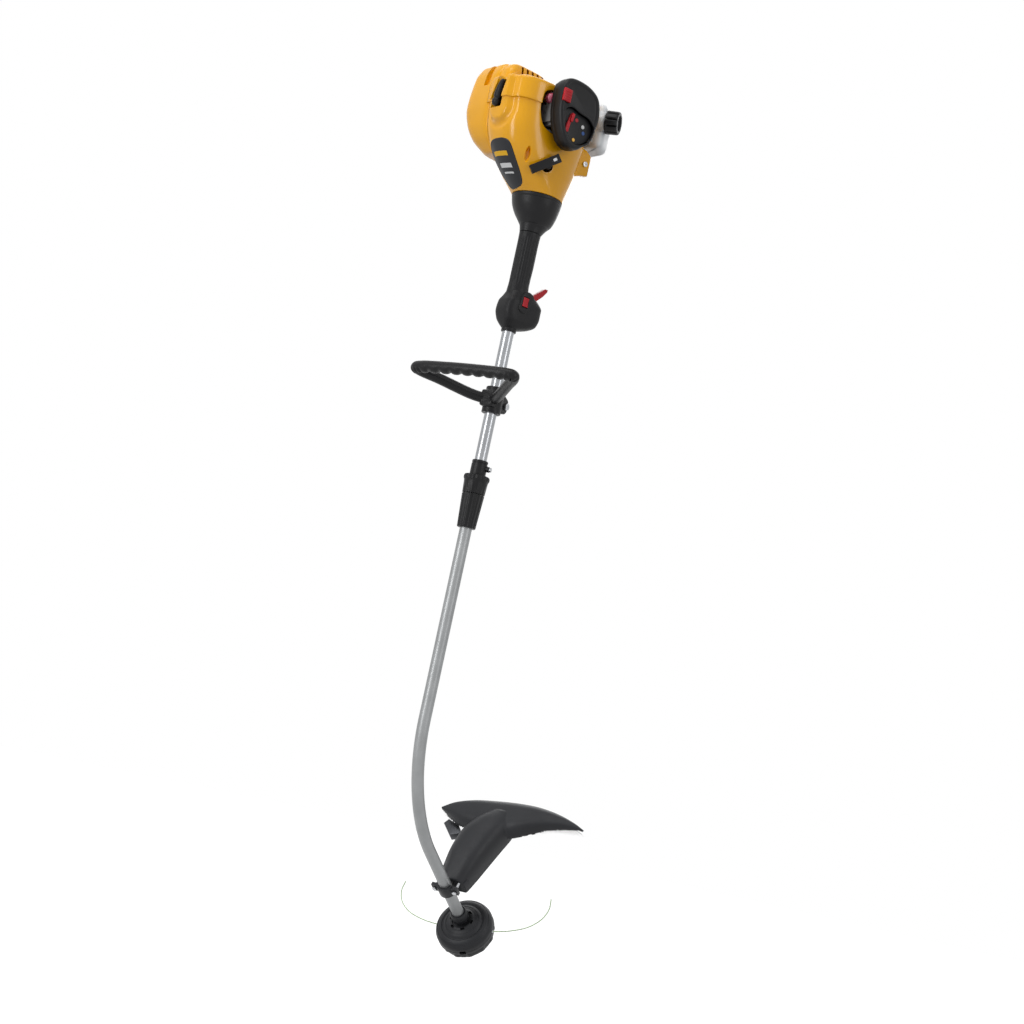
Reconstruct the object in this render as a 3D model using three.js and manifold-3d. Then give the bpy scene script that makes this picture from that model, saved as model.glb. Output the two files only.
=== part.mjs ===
// String trimmer with a petrol engine, a two-piece curved shaft and a bump-feed head.
// Millimetres, +Z up the straight tube to the engine, +X the underside where the trigger is.
// The origin is on the tube axis at the middle of the loop handle's clamp.
import * as THREE from 'three';
import { mergeVertices } from 'three/addons/utils/BufferGeometryUtils.js';
import Module from 'manifold-3d';

const wasm = await Module();
wasm.setup();

// ---- driving dimensions -------------------------------------------------

const GAP = 0.3;
const REACH = 400;

const TUBE_RADIUS = 11.1;
const TUBE_WALL = 1.5;
const TUBE_FIT = 0.35;
const CABLE_RADIUS = 3.1;

const BEND_TURN = 25;
const BEND_RADIUS = 266;
const BEND_ANGLE = 58;
const BEND_TOP = -584;
const END_STRAIGHT = 203;

const JOINT_Z = -166;
const COUPLER_TOP = -112;
const COUPLER_SLEEVE_RADIUS = 14.6;
const COLLET_RADIUS = 13.2;
const NUT_TOP = -140;
const NUT_LENGTH = 97;
const NUT_FLANGE_RADIUS = 23.5;
const NUT_TOP_RADIUS = 22;
const NUT_END_RADIUS = 16.5;

const GRIP_TOP = 318;
const GRIP_HALF_WIDTH = 18;
const HOUSING_LOW = 143;
const HOUSING_HALF_WIDTH = 25;
const HOUSING_WALL = 3.5;
const TRIGGER_PIVOT = { x: 23, z: 188 };
const TRIGGER_WIDTH = 10;
const TRIGGER_PIN_RADIUS = 2;
const SWITCH_PLACE = { x: 4, z: 186 };
const SWITCH_WIDTH = 12;
const SWITCH_HEIGHT = 17;
const CHANNEL_X = 15.4;
const SHEATH_RADIUS = 1.7;

const COLLAR_TOP = 384.2;
const COLLAR_RADIUS = 47;
const COLLAR_WALL = 3.2;
const TUBE_TOP = 366;

const SHROUD_WALL = 3.2;
const BADGE_DEPTH = 1.4;
const SHROUD_TOP = 575;
const SHROUD_BAND_Z = 532;
const SHROUD_LEFT = 66;
const REAR_TOP = 615;
const REAR_LEFT = 120;
const REAR_RIGHT = 8;
const SLOT_COUNT = 6;

const SHAFT_RADIUS = 6;
const PULLEY_Z = 424;
const PULLEY_RADIUS = 22;
const PULLEY_THICK = 8;
const FLYWHEEL_Z = 452;
const FLYWHEEL_RADIUS = 45;
const FLYWHEEL_THICK = 18;
const CASE_LOW = 484;
const CASE_HIGH = 548;
const CASE_RADIUS = 33;
const CYLINDER_Z = 520;
const CRANK_LOW = 392;
const BORE_RADIUS = 17.2;
const BARREL_RADIUS = 23;
const FIN_HALF = 32;
const FIN_COUNT = 6;
const HEAD_X = -88;
const CRANK_THROW = 13;
const DISC_RADIUS = 27;

const CARB_X = -46;
const COVER_BACK = -83;
const COVER_FRONT = -106;
const COVER_WALL = 2.4;
const CHOKE_PIVOT = { x: -44, z: 491 };
const PRIMER_RADIUS = 10;
const PRIMER_PLACE = { x: -64, y: -61, z: 548 };

const TANK_WALL = 2.2;
const TANK_LOW = 506;
const TANK_HIGH = 590;
const NECK_TURN = 36.5;
const NECK_FACE = 88;
const NECK_RADIUS = 15;
const NECK_SIDE = 28;
const CAP_RADIUS = 22;
const CAP_DEPTH = 24;

const LOOP_REACH = 123;
const LOOP_HALF_WIDTH = 103;
const LOOP_TURN = -3;
const LOOP_RISE = 21;
const LOOP_BAR_RADIUS = 11.3;
const CLAMP_HALF_HEIGHT = 24;
const CLAMP_RADIUS = 17.5;
const LOOP_BOLT_RADIUS = 3;

const HEAD_RADIUS = 55.5;
const HEAD_TOP = -12;
const HEAD_SIDE_TOP = -33;
const HEAD_SIDE_LOW = -47;
const HEAD_COVER_LOW = -67;
const HEAD_WALL = 2.6;
const EYELET_Z = -40;
const ARBOR_RADIUS = 4;
const KNOB_RADIUS = 23;
const KNOB_LOW = -75;
const KNOB_TRAVEL = 4.5;
const LINE_RADIUS = 1.1;

const GUARD_CLAMP_Z = 92;
const GUARD_CLAMP_LOW = GUARD_CLAMP_Z - 12;
const GUARD_CLAMP_HIGH = GUARD_CLAMP_Z + 12;
const GUARD_CLAMP_RADIUS = 16.5;
const GUARD_THICK = 3;
const GUARD_TOP = 96;
const GUARD_LOW = 61;
const CUTTER_TOP = 63.7;
const GUARD_ROWS = 6;
const GUARD_COLUMNS = 16;
const WING_MIDDLE = -40;
const WING_DROP = 22;
const RIDGE_LOW = 40;
const GUARD_BOLT_RADIUS = 2.5;
const GUARD_BOLT_Y = 20.5;

// ---- finishes -----------------------------------------------------------

function finish(color, roughness, metalness = 0) {
  return new THREE.MeshStandardMaterial({ color, roughness, metalness });
}

const YELLOW = finish('#e6ae1c', 0.3);
const BLACK = finish('#232325', 0.6);
const CHARCOAL = finish('#37383b', 0.65);
const RED = finish('#c8202a', 0.4);
const POLISHED = finish('#d5d6d8', 0.15, 1);
const SATIN = finish('#9b9c9c', 0.45, 1);
const STEEL = finish('#8c8e91', 0.35, 1);
const CAST = finish('#8f9091', 0.6, 0.9);
const TANK_WHITE = finish('#e9ebec', 0.4);
const BULB_PINK = finish('#c4566c', 0.3);
const FOAM = finish('#4a4b50', 0.95);
const LINE_GREEN = finish('#b9d8a4', 0.4);
const FUEL_HOSE = finish('#c9b27a', 0.5);
const ROPE_WHITE = finish('#d8d4c6', 0.9);

// ---- small tools for shapes ---------------------------------------------

function solid(geometry) {
  const plain = geometry.clone();
  plain.deleteAttribute('normal');
  plain.deleteAttribute('uv');
  const merged = mergeVertices(plain, 1e-3);
  return new wasm.Manifold(new wasm.Mesh({
    numProp: 3,
    vertProperties: Float32Array.from(merged.attributes.position.array),
    triVerts: Uint32Array.from(merged.index.array),
  }));
}

function surface(manifold) {
  const mesh = manifold.getMesh();
  const geometry = new THREE.BufferGeometry();
  geometry.setAttribute('position', new THREE.BufferAttribute(mesh.vertProperties, 3));
  geometry.setIndex(new THREE.BufferAttribute(mesh.triVerts, 1));
  return geometry;
}

function join(...parts) {
  return parts.map(solidOf).reduce((whole, part) => whole.add(part));
}

function cut(whole, ...tools) {
  return tools.map(solidOf).reduce((rest, tool) => rest.subtract(tool), solidOf(whole));
}

function keep(whole, tool) {
  return solidOf(whole).intersect(solidOf(tool));
}

function solidOf(shape) {
  return shape.isBufferGeometry ? solid(shape) : shape;
}

function rod(radius, low, high, sides = 24, x = 0, y = 0) {
  const geometry = new THREE.CylinderGeometry(radius, radius, high - low, sides);
  return geometry.rotateX(Math.PI / 2).translate(x, y, (low + high) / 2);
}

function rodBetween(radius, start, end, sides = 16) {
  const from = new THREE.Vector3(...start);
  const along = new THREE.Vector3(...end).sub(from);
  const geometry = new THREE.CylinderGeometry(radius, radius, along.length(), sides);
  const turn = new THREE.Quaternion().setFromUnitVectors(
    new THREE.Vector3(0, 1, 0), along.clone().normalize());
  geometry.applyQuaternion(turn);
  const middle = from.addScaledVector(along, 0.5);
  return geometry.translate(middle.x, middle.y, middle.z);
}

function block(x0, x1, y0, y1, z0, z1) {
  const geometry = new THREE.BoxGeometry(x1 - x0, y1 - y0, z1 - z0);
  return geometry.translate((x0 + x1) / 2, (y0 + y1) / 2, (z0 + z1) / 2);
}

// A closed profile of [radius, height] pairs, listed from the bottom up its outside.
function revolve(profile, sides = 32) {
  const points = profile.map(([radius, height]) => new THREE.Vector2(radius, height));
  if (profile[0][0] > 0) points.push(points[0].clone());
  return new THREE.LatheGeometry(points, sides).rotateX(Math.PI / 2);
}

function outline(points) {
  return new THREE.Shape(points.map(([across, up]) => new THREE.Vector2(across, up)));
}

// An outline in X and Y, drawn out from one height to another.
function prism(points, low, high) {
  const shape = points.isShape ? points : outline(points);
  const settings = { depth: high - low, bevelEnabled: false, curveSegments: 6 };
  return new THREE.ExtrudeGeometry(shape, settings).translate(0, 0, low);
}

// An outline in X and Z, drawn out in Y.
function prismAcross(points, low, high) {
  return prism(points, -high, -low).rotateX(Math.PI / 2);
}

// A closed smooth outline through a few points.
function smoothOutline(points, steps = 36) {
  const curve = new THREE.CatmullRomCurve3(
    points.map(([across, up]) => new THREE.Vector3(across, up, 0)), true, 'centripetal');
  return curve.getSpacedPoints(steps).slice(0, steps).map((point) => [point.x, point.y]);
}

function shrink(points, distance) {
  const middle = points.reduce((sum, [x, y]) => [sum[0] + x, sum[1] + y], [0, 0])
    .map((value) => value / points.length);
  return points.map(([x, y]) => {
    const away = Math.hypot(x - middle[0], y - middle[1]);
    const scale = (away - distance) / away;
    return [middle[0] + (x - middle[0]) * scale, middle[1] + (y - middle[1]) * scale];
  });
}

function circleShape(radius, sides) {
  const corners = [];
  for (let corner = 0; corner < sides; corner += 1) {
    const angle = (2 * Math.PI * corner) / sides;
    corners.push([radius * Math.cos(angle), radius * Math.sin(angle)]);
  }
  return outline(corners);
}

function tubeAlong(curve, radius, sides, steps) {
  return new THREE.ExtrudeGeometry(circleShape(radius, sides), { extrudePath: curve, steps });
}

function smoothPath(points) {
  const places = points.map((point) => new THREE.Vector3(...point));
  return new THREE.CatmullRomCurve3(places, false, 'centripetal');
}

// A cylinder whose rings are reshaped: each station is a rounded box section at its height.
function loft(stations, sides = 24) {
  const geometry = new THREE.CylinderGeometry(1, 1, 1, sides, stations.length - 1);
  const place = geometry.attributes.position;
  for (let index = 0; index < place.count; index += 1) {
    const row = Math.round((place.getY(index) + 0.5) * (stations.length - 1));
    const station = stations[row];
    const angle = Math.atan2(-place.getZ(index), place.getX(index));
    const onRing = Math.hypot(place.getX(index), place.getZ(index)) > 0.5;
    const power = 2 / (station.square ?? 2);
    const spread = (value) => {
      if (!onRing || Math.abs(value) < 1e-6) return 0;
      return Math.sign(value) * Math.abs(value) ** power;
    };
    const x = (station.x0 + station.x1) / 2 + ((station.x1 - station.x0) / 2) * spread(Math.cos(angle));
    const y = (station.y0 + station.y1) / 2 + ((station.y1 - station.y0) / 2) * spread(Math.sin(angle));
    place.setXYZ(index, x, y, station.z);
  }
  return geometry;
}

function inset(stations, wall) {
  return stations.map((station) => ({
    ...station,
    x0: station.x0 + wall,
    x1: station.x1 - wall,
    y0: station.y0 + wall,
    y1: station.y1 - wall,
  }));
}

function bolt(radius, headRadius, headLength, start, end, headSides = 6) {
  const from = new THREE.Vector3(...start);
  const along = new THREE.Vector3(...end).sub(from).normalize();
  const top = from.clone().addScaledVector(along, -headLength);
  const overlap = from.clone().addScaledVector(along, 0.05);
  return join(rodBetween(radius, start, end, 12),
    rodBetween(headRadius, top.toArray(), overlap.toArray(), headSides));
}

const trimmer = new THREE.Group();
trimmer.name = 'string_trimmer';

function add(name, shape, material, group = trimmer) {
  const mesh = new THREE.Mesh(shape.isBufferGeometry ? shape : surface(shape), material);
  mesh.name = name;
  group.add(mesh);
  return mesh;
}

// ---- upper tube, collar, grip and throttle housing ------------------------

const tubeBore = TUBE_RADIUS - TUBE_WALL;
const seatRadius = TUBE_RADIUS + TUBE_FIT;

function upperTube() {
  return cut(rod(TUBE_RADIUS, JOINT_Z, TUBE_TOP, 24), rod(tubeBore, JOINT_Z - 1, TUBE_TOP + 1, 16));
}

const collarFloor = TUBE_TOP - 10;
const collarStations = [
  { z: GRIP_TOP + GAP, x0: -19, x1: 22, y0: -19, y1: 19 },
  { z: 330, x0: -21, x1: 30, y0: -23, y1: 23 },
  { z: 340, x0: -26, x1: 38, y0: -31, y1: 31 },
  { z: 352, x0: -35, x1: 42, y0: -38, y1: 38 },
  { z: 368, x0: -43, x1: 45, y0: -44, y1: 44 },
  { z: COLLAR_TOP, x0: -COLLAR_RADIUS, x1: COLLAR_RADIUS, y0: -COLLAR_RADIUS, y1: COLLAR_RADIUS },
];

function sheathPath() {
  return smoothPath([
    [CHANNEL_X, 0, 206], [CHANNEL_X, 0, 270], [CHANNEL_X, 0, 330], [CHANNEL_X, 0, 346], [CHANNEL_X, 0, 358], [16, -12, 374],
    [14, -30, 394], [6, -47, 430], [-2, -51, 462], [-26, -52, 478], [CARB_X + 6, -56, 488],
    [CARB_X + 6, -56, 497.6],
  ]);
}

function channel(low, high) {
  return rod(SHEATH_RADIUS + GAP, low, high, 10, CHANNEL_X, 0);
}

function collar() {
  const cavity = collarStations.slice(3).map((station) => ({ ...station }));
  cavity[0].z = collarFloor;
  const room = inset(cavity, COLLAR_WALL);
  room.push({ ...room[room.length - 1], z: COLLAR_TOP + 2 });
  return cut(loft(collarStations), loft(room, 28), rod(seatRadius, GRIP_TOP, collarFloor + 1, 24),
    rod(SHEATH_RADIUS + 4 * GAP, GRIP_TOP, collarFloor + 1, 10, CHANNEL_X, 0));
}

const gripStations = [
  { z: 196, x0: -20, x1: 22, y0: -19, y1: 19 },
  { z: 225, x0: -18.5, x1: 20, y0: -GRIP_HALF_WIDTH, y1: GRIP_HALF_WIDTH },
  { z: 262, x0: -18.5, x1: 21, y0: -GRIP_HALF_WIDTH - 0.6, y1: GRIP_HALF_WIDTH + 0.6 },
  { z: 300, x0: -18.5, x1: 21, y0: -GRIP_HALF_WIDTH - 0.4, y1: GRIP_HALF_WIDTH + 0.4 },
  { z: GRIP_TOP, x0: -19, x1: 22, y0: -GRIP_HALF_WIDTH - 1, y1: GRIP_HALF_WIDTH + 1 },
];

const housingStations = [
  { z: 133, x0: -15, x1: 20, y0: -14, y1: 14 },
  { z: HOUSING_LOW, x0: -23, x1: 33, y0: -20, y1: 20, square: 2.2 },
  { z: 156, x0: -31, x1: 45, y0: -24, y1: 24, square: 2.4 },
  { z: 172, x0: -34, x1: 50, y0: -HOUSING_HALF_WIDTH, y1: HOUSING_HALF_WIDTH, square: 2.5 },
  { z: 188, x0: -32, x1: 50, y0: -HOUSING_HALF_WIDTH, y1: HOUSING_HALF_WIDTH, square: 2.5 },
  { z: 200, x0: -25, x1: 41, y0: -23, y1: 23, square: 2.3 },
  { z: 209, x0: -18, x1: 24, y0: -18, y1: 18 },
];

function housing() {
  return loft(housingStations, 28);
}

function gripWhole() {
  const half = HOUSING_HALF_WIDTH - HOUSING_WALL;
  const room = keep(loft(inset(housingStations, HOUSING_WALL), 24),
    block(14.5, 60, -half, half, HOUSING_LOW, 203));
  const slotHalf = TRIGGER_WIDTH / 2 + 1;
  const slot = block(19, 60, -slotHalf, slotHalf, 184, 222);
  const pin = rodBetween(TRIGGER_PIN_RADIUS, [TRIGGER_PIVOT.x, -half - 1, TRIGGER_PIVOT.z],
    [TRIGGER_PIVOT.x, half + 1, TRIGGER_PIVOT.z], 12);
  const panel = switchPanel();
  const shell = cut(join(loft(gripStations), housing(), rod(13.6, 130, HOUSING_LOW + 6, 24), panel),
    room, slot, switchPocket(), channel(200, GRIP_TOP + 1));
  return cut(join(shell, pin), rod(seatRadius, 120, GRIP_TOP + 1, 24));
}

function switchPanel() {
  const { x, z } = SWITCH_PLACE;
  const low = -HOUSING_HALF_WIDTH - 2.5;
  return prismAcross([[x - 11, z - 15], [x + 9, z - 17], [x + 17, z + 14], [x - 3, z + 18]],
    low, -HOUSING_HALF_WIDTH + 8);
}

function switchPocket() {
  const { x, z } = SWITCH_PLACE;
  const halfWidth = SWITCH_WIDTH / 2 + 0.5;
  const halfHeight = SWITCH_HEIGHT / 2 + 1.6;
  return block(x - halfWidth, x + halfWidth, -40, -17, z - halfHeight, z + halfHeight);
}

function stopSwitch() {
  const half = SWITCH_HEIGHT / 2;
  const rocker = prism([[-half, -5], [half, -5], [half, 3.6], [0, 2.4], [-half, 3.6]],
    -SWITCH_WIDTH / 2, SWITCH_WIDTH / 2);
  rocker.rotateY(-Math.PI / 2).rotateZ(Math.PI);
  return rocker;
}

function gripHalf(side) {
  const split = GAP / 2;
  const range = side > 0 ? [split, REACH] : [-REACH, -split];
  return keep(gripWhole(), block(-REACH, REACH, range[0], range[1], 0, REACH));
}

function throttleTrigger() {
  const half = TRIGGER_WIDTH / 2;
  const { x, z } = TRIGGER_PIVOT;
  const lever = prismAcross([[x - 5, z - 5], [x + 5, z - 4], [x + 21, z + 15], [x + 33, z + 27],
    [x + 41, z + 38], [x + 42, z + 43], [x + 36, z + 43], [x + 27, z + 35], [x + 14, z + 24],
    [x - 4, z + 6]], -half, half);
  const hole = rodBetween(TRIGGER_PIN_RADIUS + GAP, [x, -half - 1, z], [x, half + 1, z], 12);
  return cut(lever, hole);
}

add('upper_tube', upperTube(), POLISHED);
add('collar', collar(), BLACK);
add('grip_half_left', gripHalf(1), BLACK);
add('grip_half_right', gripHalf(-1), BLACK);
add('throttle_trigger', throttleTrigger(), RED);
const rocker = add('stop_switch', stopSwitch(), RED);
rocker.position.set(SWITCH_PLACE.x, -HOUSING_HALF_WIDTH, SWITCH_PLACE.z);
add('throttle_cable', tubeAlong(sheathPath(), SHEATH_RADIUS, 8, 22), BLACK);

// ---- coupler --------------------------------------------------------------

function couplerBody() {
  const colletLow = NUT_TOP - NUT_LENGTH + 12;
  const sleeve = join(rod(COUPLER_SLEEVE_RADIUS, NUT_TOP + GAP, COUPLER_TOP, 24),
    rod(COLLET_RADIUS, colletLow, NUT_TOP + 1, 24), screwBoss());
  return cut(sleeve, rod(seatRadius, colletLow - 1, COUPLER_TOP + 1, 24), screwHole(GAP));
}

const screwAngle = THREE.MathUtils.degToRad(-54);

function alongScrew(radius) {
  return [radius * Math.cos(screwAngle), radius * Math.sin(screwAngle), (COUPLER_TOP + NUT_TOP) / 2];
}

function screwBoss() {
  return rodBetween(5, alongScrew(TUBE_RADIUS + 1), alongScrew(20), 12);
}

function screwHole(clearance) {
  return rodBetween(2.2 + clearance, alongScrew(TUBE_RADIUS - 1), alongScrew(REACH / 10), 10);
}

function couplerNut() {
  const low = NUT_TOP - NUT_LENGTH;
  const room = COLLET_RADIUS + GAP;
  const flangeLow = NUT_TOP - 8;
  return revolve([
    [seatRadius, low], [NUT_END_RADIUS, low], [NUT_END_RADIUS + 0.6, low + 6],
    [NUT_TOP_RADIUS - 1, flangeLow - 6], [NUT_TOP_RADIUS, flangeLow], [NUT_FLANGE_RADIUS, flangeLow + 1],
    [NUT_FLANGE_RADIUS, NUT_TOP - 1.5], [NUT_FLANGE_RADIUS - 1.5, NUT_TOP], [room, NUT_TOP],
    [room, low + 11], [seatRadius, low + 9],
  ], 24);
}

add('coupler_body', couplerBody(), BLACK);
add('coupler_nut', couplerNut(), BLACK);
add('coupler_screw', bolt(2.2, 4.2, 3, alongScrew(20 + GAP), alongScrew(TUBE_RADIUS + GAP), 12), STEEL);

function driveCableUpper() {
  const socket = rod(7, JOINT_Z - 14, JOINT_Z + 12, 20);
  const mouth = rod(CABLE_RADIUS + GAP, JOINT_Z - 16, JOINT_Z - GAP, 12);
  return join(cut(socket, mouth), rod(CABLE_RADIUS, JOINT_Z + 5, CRANK_LOW - GAP, 12));
}

add('drive_cable_upper', driveCableUpper(), STEEL);

// ---- engine cover: main shroud, rear cover, badge, starter -----------------

const shroudLow = COLLAR_TOP + GAP;
const shroudStations = [
  { z: shroudLow, x0: -COLLAR_RADIUS, x1: COLLAR_RADIUS, y0: -COLLAR_RADIUS, y1: COLLAR_RADIUS },
  { z: 398, x0: -62, x1: 49, y0: -50, y1: 50, square: 2.1 },
  { z: 415, x0: -79, x1: 52, y0: -53, y1: 54, square: 2.3 },
  { z: 438, x0: -99, x1: 55, y0: -58, y1: 58, square: 2.5 },
  { z: 462, x0: -114, x1: 57, y0: -61, y1: 62, square: 2.7 },
  { z: 490, x0: -123, x1: 58, y0: -63, y1: 64, square: 3 },
  { z: SHROUD_BAND_Z, x0: -128, x1: 58, y0: -64, y1: SHROUD_LEFT, square: 3.2 },
];
const bandStation = { x0: -131, x1: 60, y0: -66.5, y1: SHROUD_LEFT + 2, square: 3.4 };
const bandStations = [
  { z: SHROUD_BAND_Z - 0.5, ...bandStation },
  { z: SHROUD_TOP - 5, ...bandStation },
  { z: SHROUD_TOP, ...bandStation, x0: -127, x1: 57, y0: -63, y1: SHROUD_LEFT - 1 },
];

function shroudBody() {
  return join(loft(shroudStations, 28), loft(bandStations, 28), ropeBulge(), lug());
}

function ropeBulge() {
  return loft([
    { z: 452, x0: -112, x1: -90, y0: 0, y1: 12 },
    { z: 480, x0: -127, x1: -100, y0: -9, y1: 21 },
    { z: 510, x0: -134, x1: -100, y0: -13, y1: 25 },
    { z: 530, x0: -136, x1: -100, y0: -14, y1: 26 },
  ], 20);
}

function handlePocket() {
  const pocket = loft([
    { z: 518, x0: -160, x1: -119.5, y0: -4, y1: 20, square: 3 },
    { z: 540, x0: -160, x1: -120.5, y0: -9, y1: 16, square: 3 },
    { z: 560, x0: -160, x1: -121.5, y0: -14, y1: 9, square: 3 },
    { z: SHROUD_TOP + 2, x0: -160, x1: -122, y0: -18, y1: 6, square: 3 },
  ], 16);
  return pocket;
}

function lug() {
  return prismAcross([[46, 447], [74, 452], [75, 491], [50, 503]], -36, -24);
}

function shroudRoom() {
  const rows = inset(shroudStations, SHROUD_WALL);
  rows[0].z -= 2;
  rows.push({ ...rows[rows.length - 1], z: SHROUD_TOP - SHROUD_WALL - 1 });
  return loft(rows, 16);
}

const intakeOutline = smoothOutline([[-82, 548], [-72, 560], [-50, 563], [-20, 560], [12, 540],
  [16, 512], [-6, 492], [-34, 486], [-66, 494], [-80, 520]], 18);

function shroud() {
  const muffler = block(-96, 6, 20, REACH, 474, SHROUD_TOP - 8);
  const tankSide = block(20, REACH, -40, 40, 498, 560);
  return cut(shroudBody(), shroudRoom(), handlePocket(), prismAcross(intakeOutline, -REACH, -20),
    muffler, tankSide, ropeHole(), lugHole(), toolPocket(), badgeSeat());
}

function ropeHole() {
  return rodBetween(3.2, [-112, 7, 505], [-124, 7, 534], 10);
}

function lugHole() {
  return rodBetween(2.6, [63, -60, 472], [63, -20, 472], 10);
}

const rearStations = [
  { z: 450, x0: -86, x1: 0, y0: 30, y1: 86, square: 3 },
  { z: 474, x0: -109, x1: 6, y0: 30, y1: 105, square: 3.2 },
  { z: 500, x0: -119, x1: 8, y0: 30, y1: 115, square: 3.6 },
  { z: 530, x0: -122, x1: 8, y0: 30, y1: REAR_LEFT, square: 4 },
  { z: 590, x0: -117, x1: 0, y0: 30, y1: REAR_LEFT - 6, square: 4 },
  { z: REAR_TOP, x0: -106, x1: -16, y0: 30, y1: REAR_LEFT - 16, square: 4 },
];

function rearTopStations() {
  return [
    { z: SHROUD_TOP + GAP, x0: -115, x1: -14, y0: REAR_RIGHT, y1: REAR_LEFT - 20, square: 7 },
    { z: 598, x0: -112, x1: -16, y0: REAR_RIGHT + 1, y1: REAR_LEFT - 20, square: 7 },
    { z: REAR_TOP, x0: -102, x1: -30, y0: REAR_RIGHT + 6, y1: REAR_LEFT - 22, square: 6 },
  ];
}

function rearCover() {
  const whole = join(loft(rearStations, 24), loft(rearTopStations(), 20));
  const roomRows = inset(rearStations, SHROUD_WALL);
  roomRows[0].z += SHROUD_WALL;
  roomRows[roomRows.length - 1].z -= SHROUD_WALL;
  const topRows = inset(rearTopStations(), SHROUD_WALL);
  topRows[0].z -= 1;
  topRows[2].z -= SHROUD_WALL;
  const slots = [];
  for (let slot = 0; slot < SLOT_COUNT; slot += 1) {
    const x = -88 + slot * 12;
    slots.push(block(x, x + 5.5, -REACH, REAR_RIGHT + 20, 588, 610));
  }
  const groove = prismAcross([[-130, 570], [-108, 575], [-98, 625], [-130, 625]], 56, 72);
  const mainOuter = join(loft(inset(shroudStations, -GAP), 28), loft(inset(bandStations, -GAP), 28),
    block(-REACH, REACH, -REACH, REACH, 0, 440));
  return cut(cut(whole, groove), loft(roomRows, 16), loft(topRows, 16), ...slots, mainOuter);
}

// The badge plate follows the shroud's curved front, sunk a little into it.
const badgeOutline = smoothOutline([[2, 390], [14, 394], [23, 412], [32, 436], [29, 452], [6, 458],
  [-16, 456], [-22, 444], [-19, 412], [-10, 393]], 24);

function badgeSlab(grow) {
  const grown = shrink(badgeOutline, -grow);
  return prism(grown.map(([across, up]) => [up, across]), 40, REACH).rotateY(-Math.PI / 2);
}

function badge() {
  const outer = loft(inset(shroudStations, -0.8), 28);
  const inner = loft(inset(shroudStations, BADGE_DEPTH - GAP), 28);
  return cut(keep(badgeSlab(0), outer), inner);
}

function badgeSeat() {
  return cut(badgeSlab(GAP), loft(inset(shroudStations, BADGE_DEPTH), 28));
}

add('shroud', shroud(), YELLOW);
add('rear_cover', rearCover(), YELLOW);

function starterHandle() {
  const ball = new THREE.SphereGeometry(7.2, 16, 10).translate(0, 0, 0);
  const body = revolve([[0, 2], [6.6, 2], [7, 10], [6.2, 24], [4.6, 36], [3.4, 41], [0, 42]], 16);
  return join(ball, body);
}

const starter = add('starter_handle', starterHandle(), BLACK);
starter.position.set(-130, 8, 525.5);
starter.rotation.set(THREE.MathUtils.degToRad(15), THREE.MathUtils.degToRad(-4), 0);

function starterPulley() {
  const rim = PULLEY_RADIUS;
  const high = PULLEY_Z + PULLEY_THICK;
  return revolve([
    [SHAFT_RADIUS + GAP, PULLEY_Z], [rim + 3, PULLEY_Z], [rim + 3, PULLEY_Z + 1.6],
    [rim - 4, PULLEY_Z + 1.6], [rim - 4, high - 1.6], [rim + 3, high - 1.6], [rim + 3, high],
    [SHAFT_RADIUS + GAP, high],
  ], 28);
}

function woundRope() {
  const low = PULLEY_Z + 1.6 + GAP;
  const high = PULLEY_Z + PULLEY_THICK - 1.6 - GAP;
  const inner = PULLEY_RADIUS - 4 + GAP;
  return revolve([[inner, low], [PULLEY_RADIUS + 1, low], [PULLEY_RADIUS + 1, high], [inner, high]], 28);
}

function recoilSpring() {
  const low = PULLEY_Z - 8;
  const high = PULLEY_Z - GAP;
  return revolve([[SHAFT_RADIUS + 2, low], [PULLEY_RADIUS, low], [PULLEY_RADIUS, high],
    [SHAFT_RADIUS + 2, high]], 28);
}

function springCup() {
  const low = PULLEY_Z - 8 - GAP - 2;
  const inner = SHAFT_RADIUS + 1;
  const edge = 42;
  return cut(join(revolve([[inner, low], [edge, low], [edge, low + 2], [PULLEY_RADIUS + 2, low + 2],
    [PULLEY_RADIUS + 2, low + 9], [PULLEY_RADIUS + GAP, low + 9], [PULLEY_RADIUS + GAP, low + 2],
    [inner, low + 2]], 28), block(-64, -38, -7, 7, low, low + 2), block(38, 46.8, -7, 7, low, low + 2)),
  rodBetween(SHEATH_RADIUS + 2.5, [12, -37, low - 5], [8.4, -45, low + 14], 10));
}

add('starter_pulley', starterPulley(), CHARCOAL);
add('starter_rope', woundRope(), ROPE_WHITE);
add('recoil_spring', recoilSpring(), STEEL);
add('starter_plate', springCup(), CAST);

// ---- engine ----------------------------------------------------------------

function flywheel() {
  const low = FLYWHEEL_Z;
  const high = FLYWHEEL_Z + FLYWHEEL_THICK;
  const hub = revolve([[SHAFT_RADIUS + 0.02, low - 6], [12, low - 6], [14, low], [FLYWHEEL_RADIUS - 12, low],
    [FLYWHEEL_RADIUS - 12, low + 6], [FLYWHEEL_RADIUS, low + 6], [FLYWHEEL_RADIUS, low + 9],
    [FLYWHEEL_RADIUS - 10, low + 9], [FLYWHEEL_RADIUS - 12, high], [SHAFT_RADIUS + 0.02, high]], 24);
  const blades = [];
  for (let blade = 0; blade < 8; blade += 1) {
    const vane = block(FLYWHEEL_RADIUS - 14, FLYWHEEL_RADIUS - 1, -1, 1, low + 8, high);
    blades.push(vane.rotateZ((2 * Math.PI * blade) / 8));
  }
  return join(hub, ...blades);
}

function crankshaft() {
  const discLow = CYLINDER_Z - 14;
  return revolve([[0, CRANK_LOW], [SHAFT_RADIUS - 0.03, CRANK_LOW], [SHAFT_RADIUS - 0.03, discLow],
    [DISC_RADIUS, discLow], [DISC_RADIUS, discLow + 8], [0, discLow + 8]], 28);
}

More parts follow.
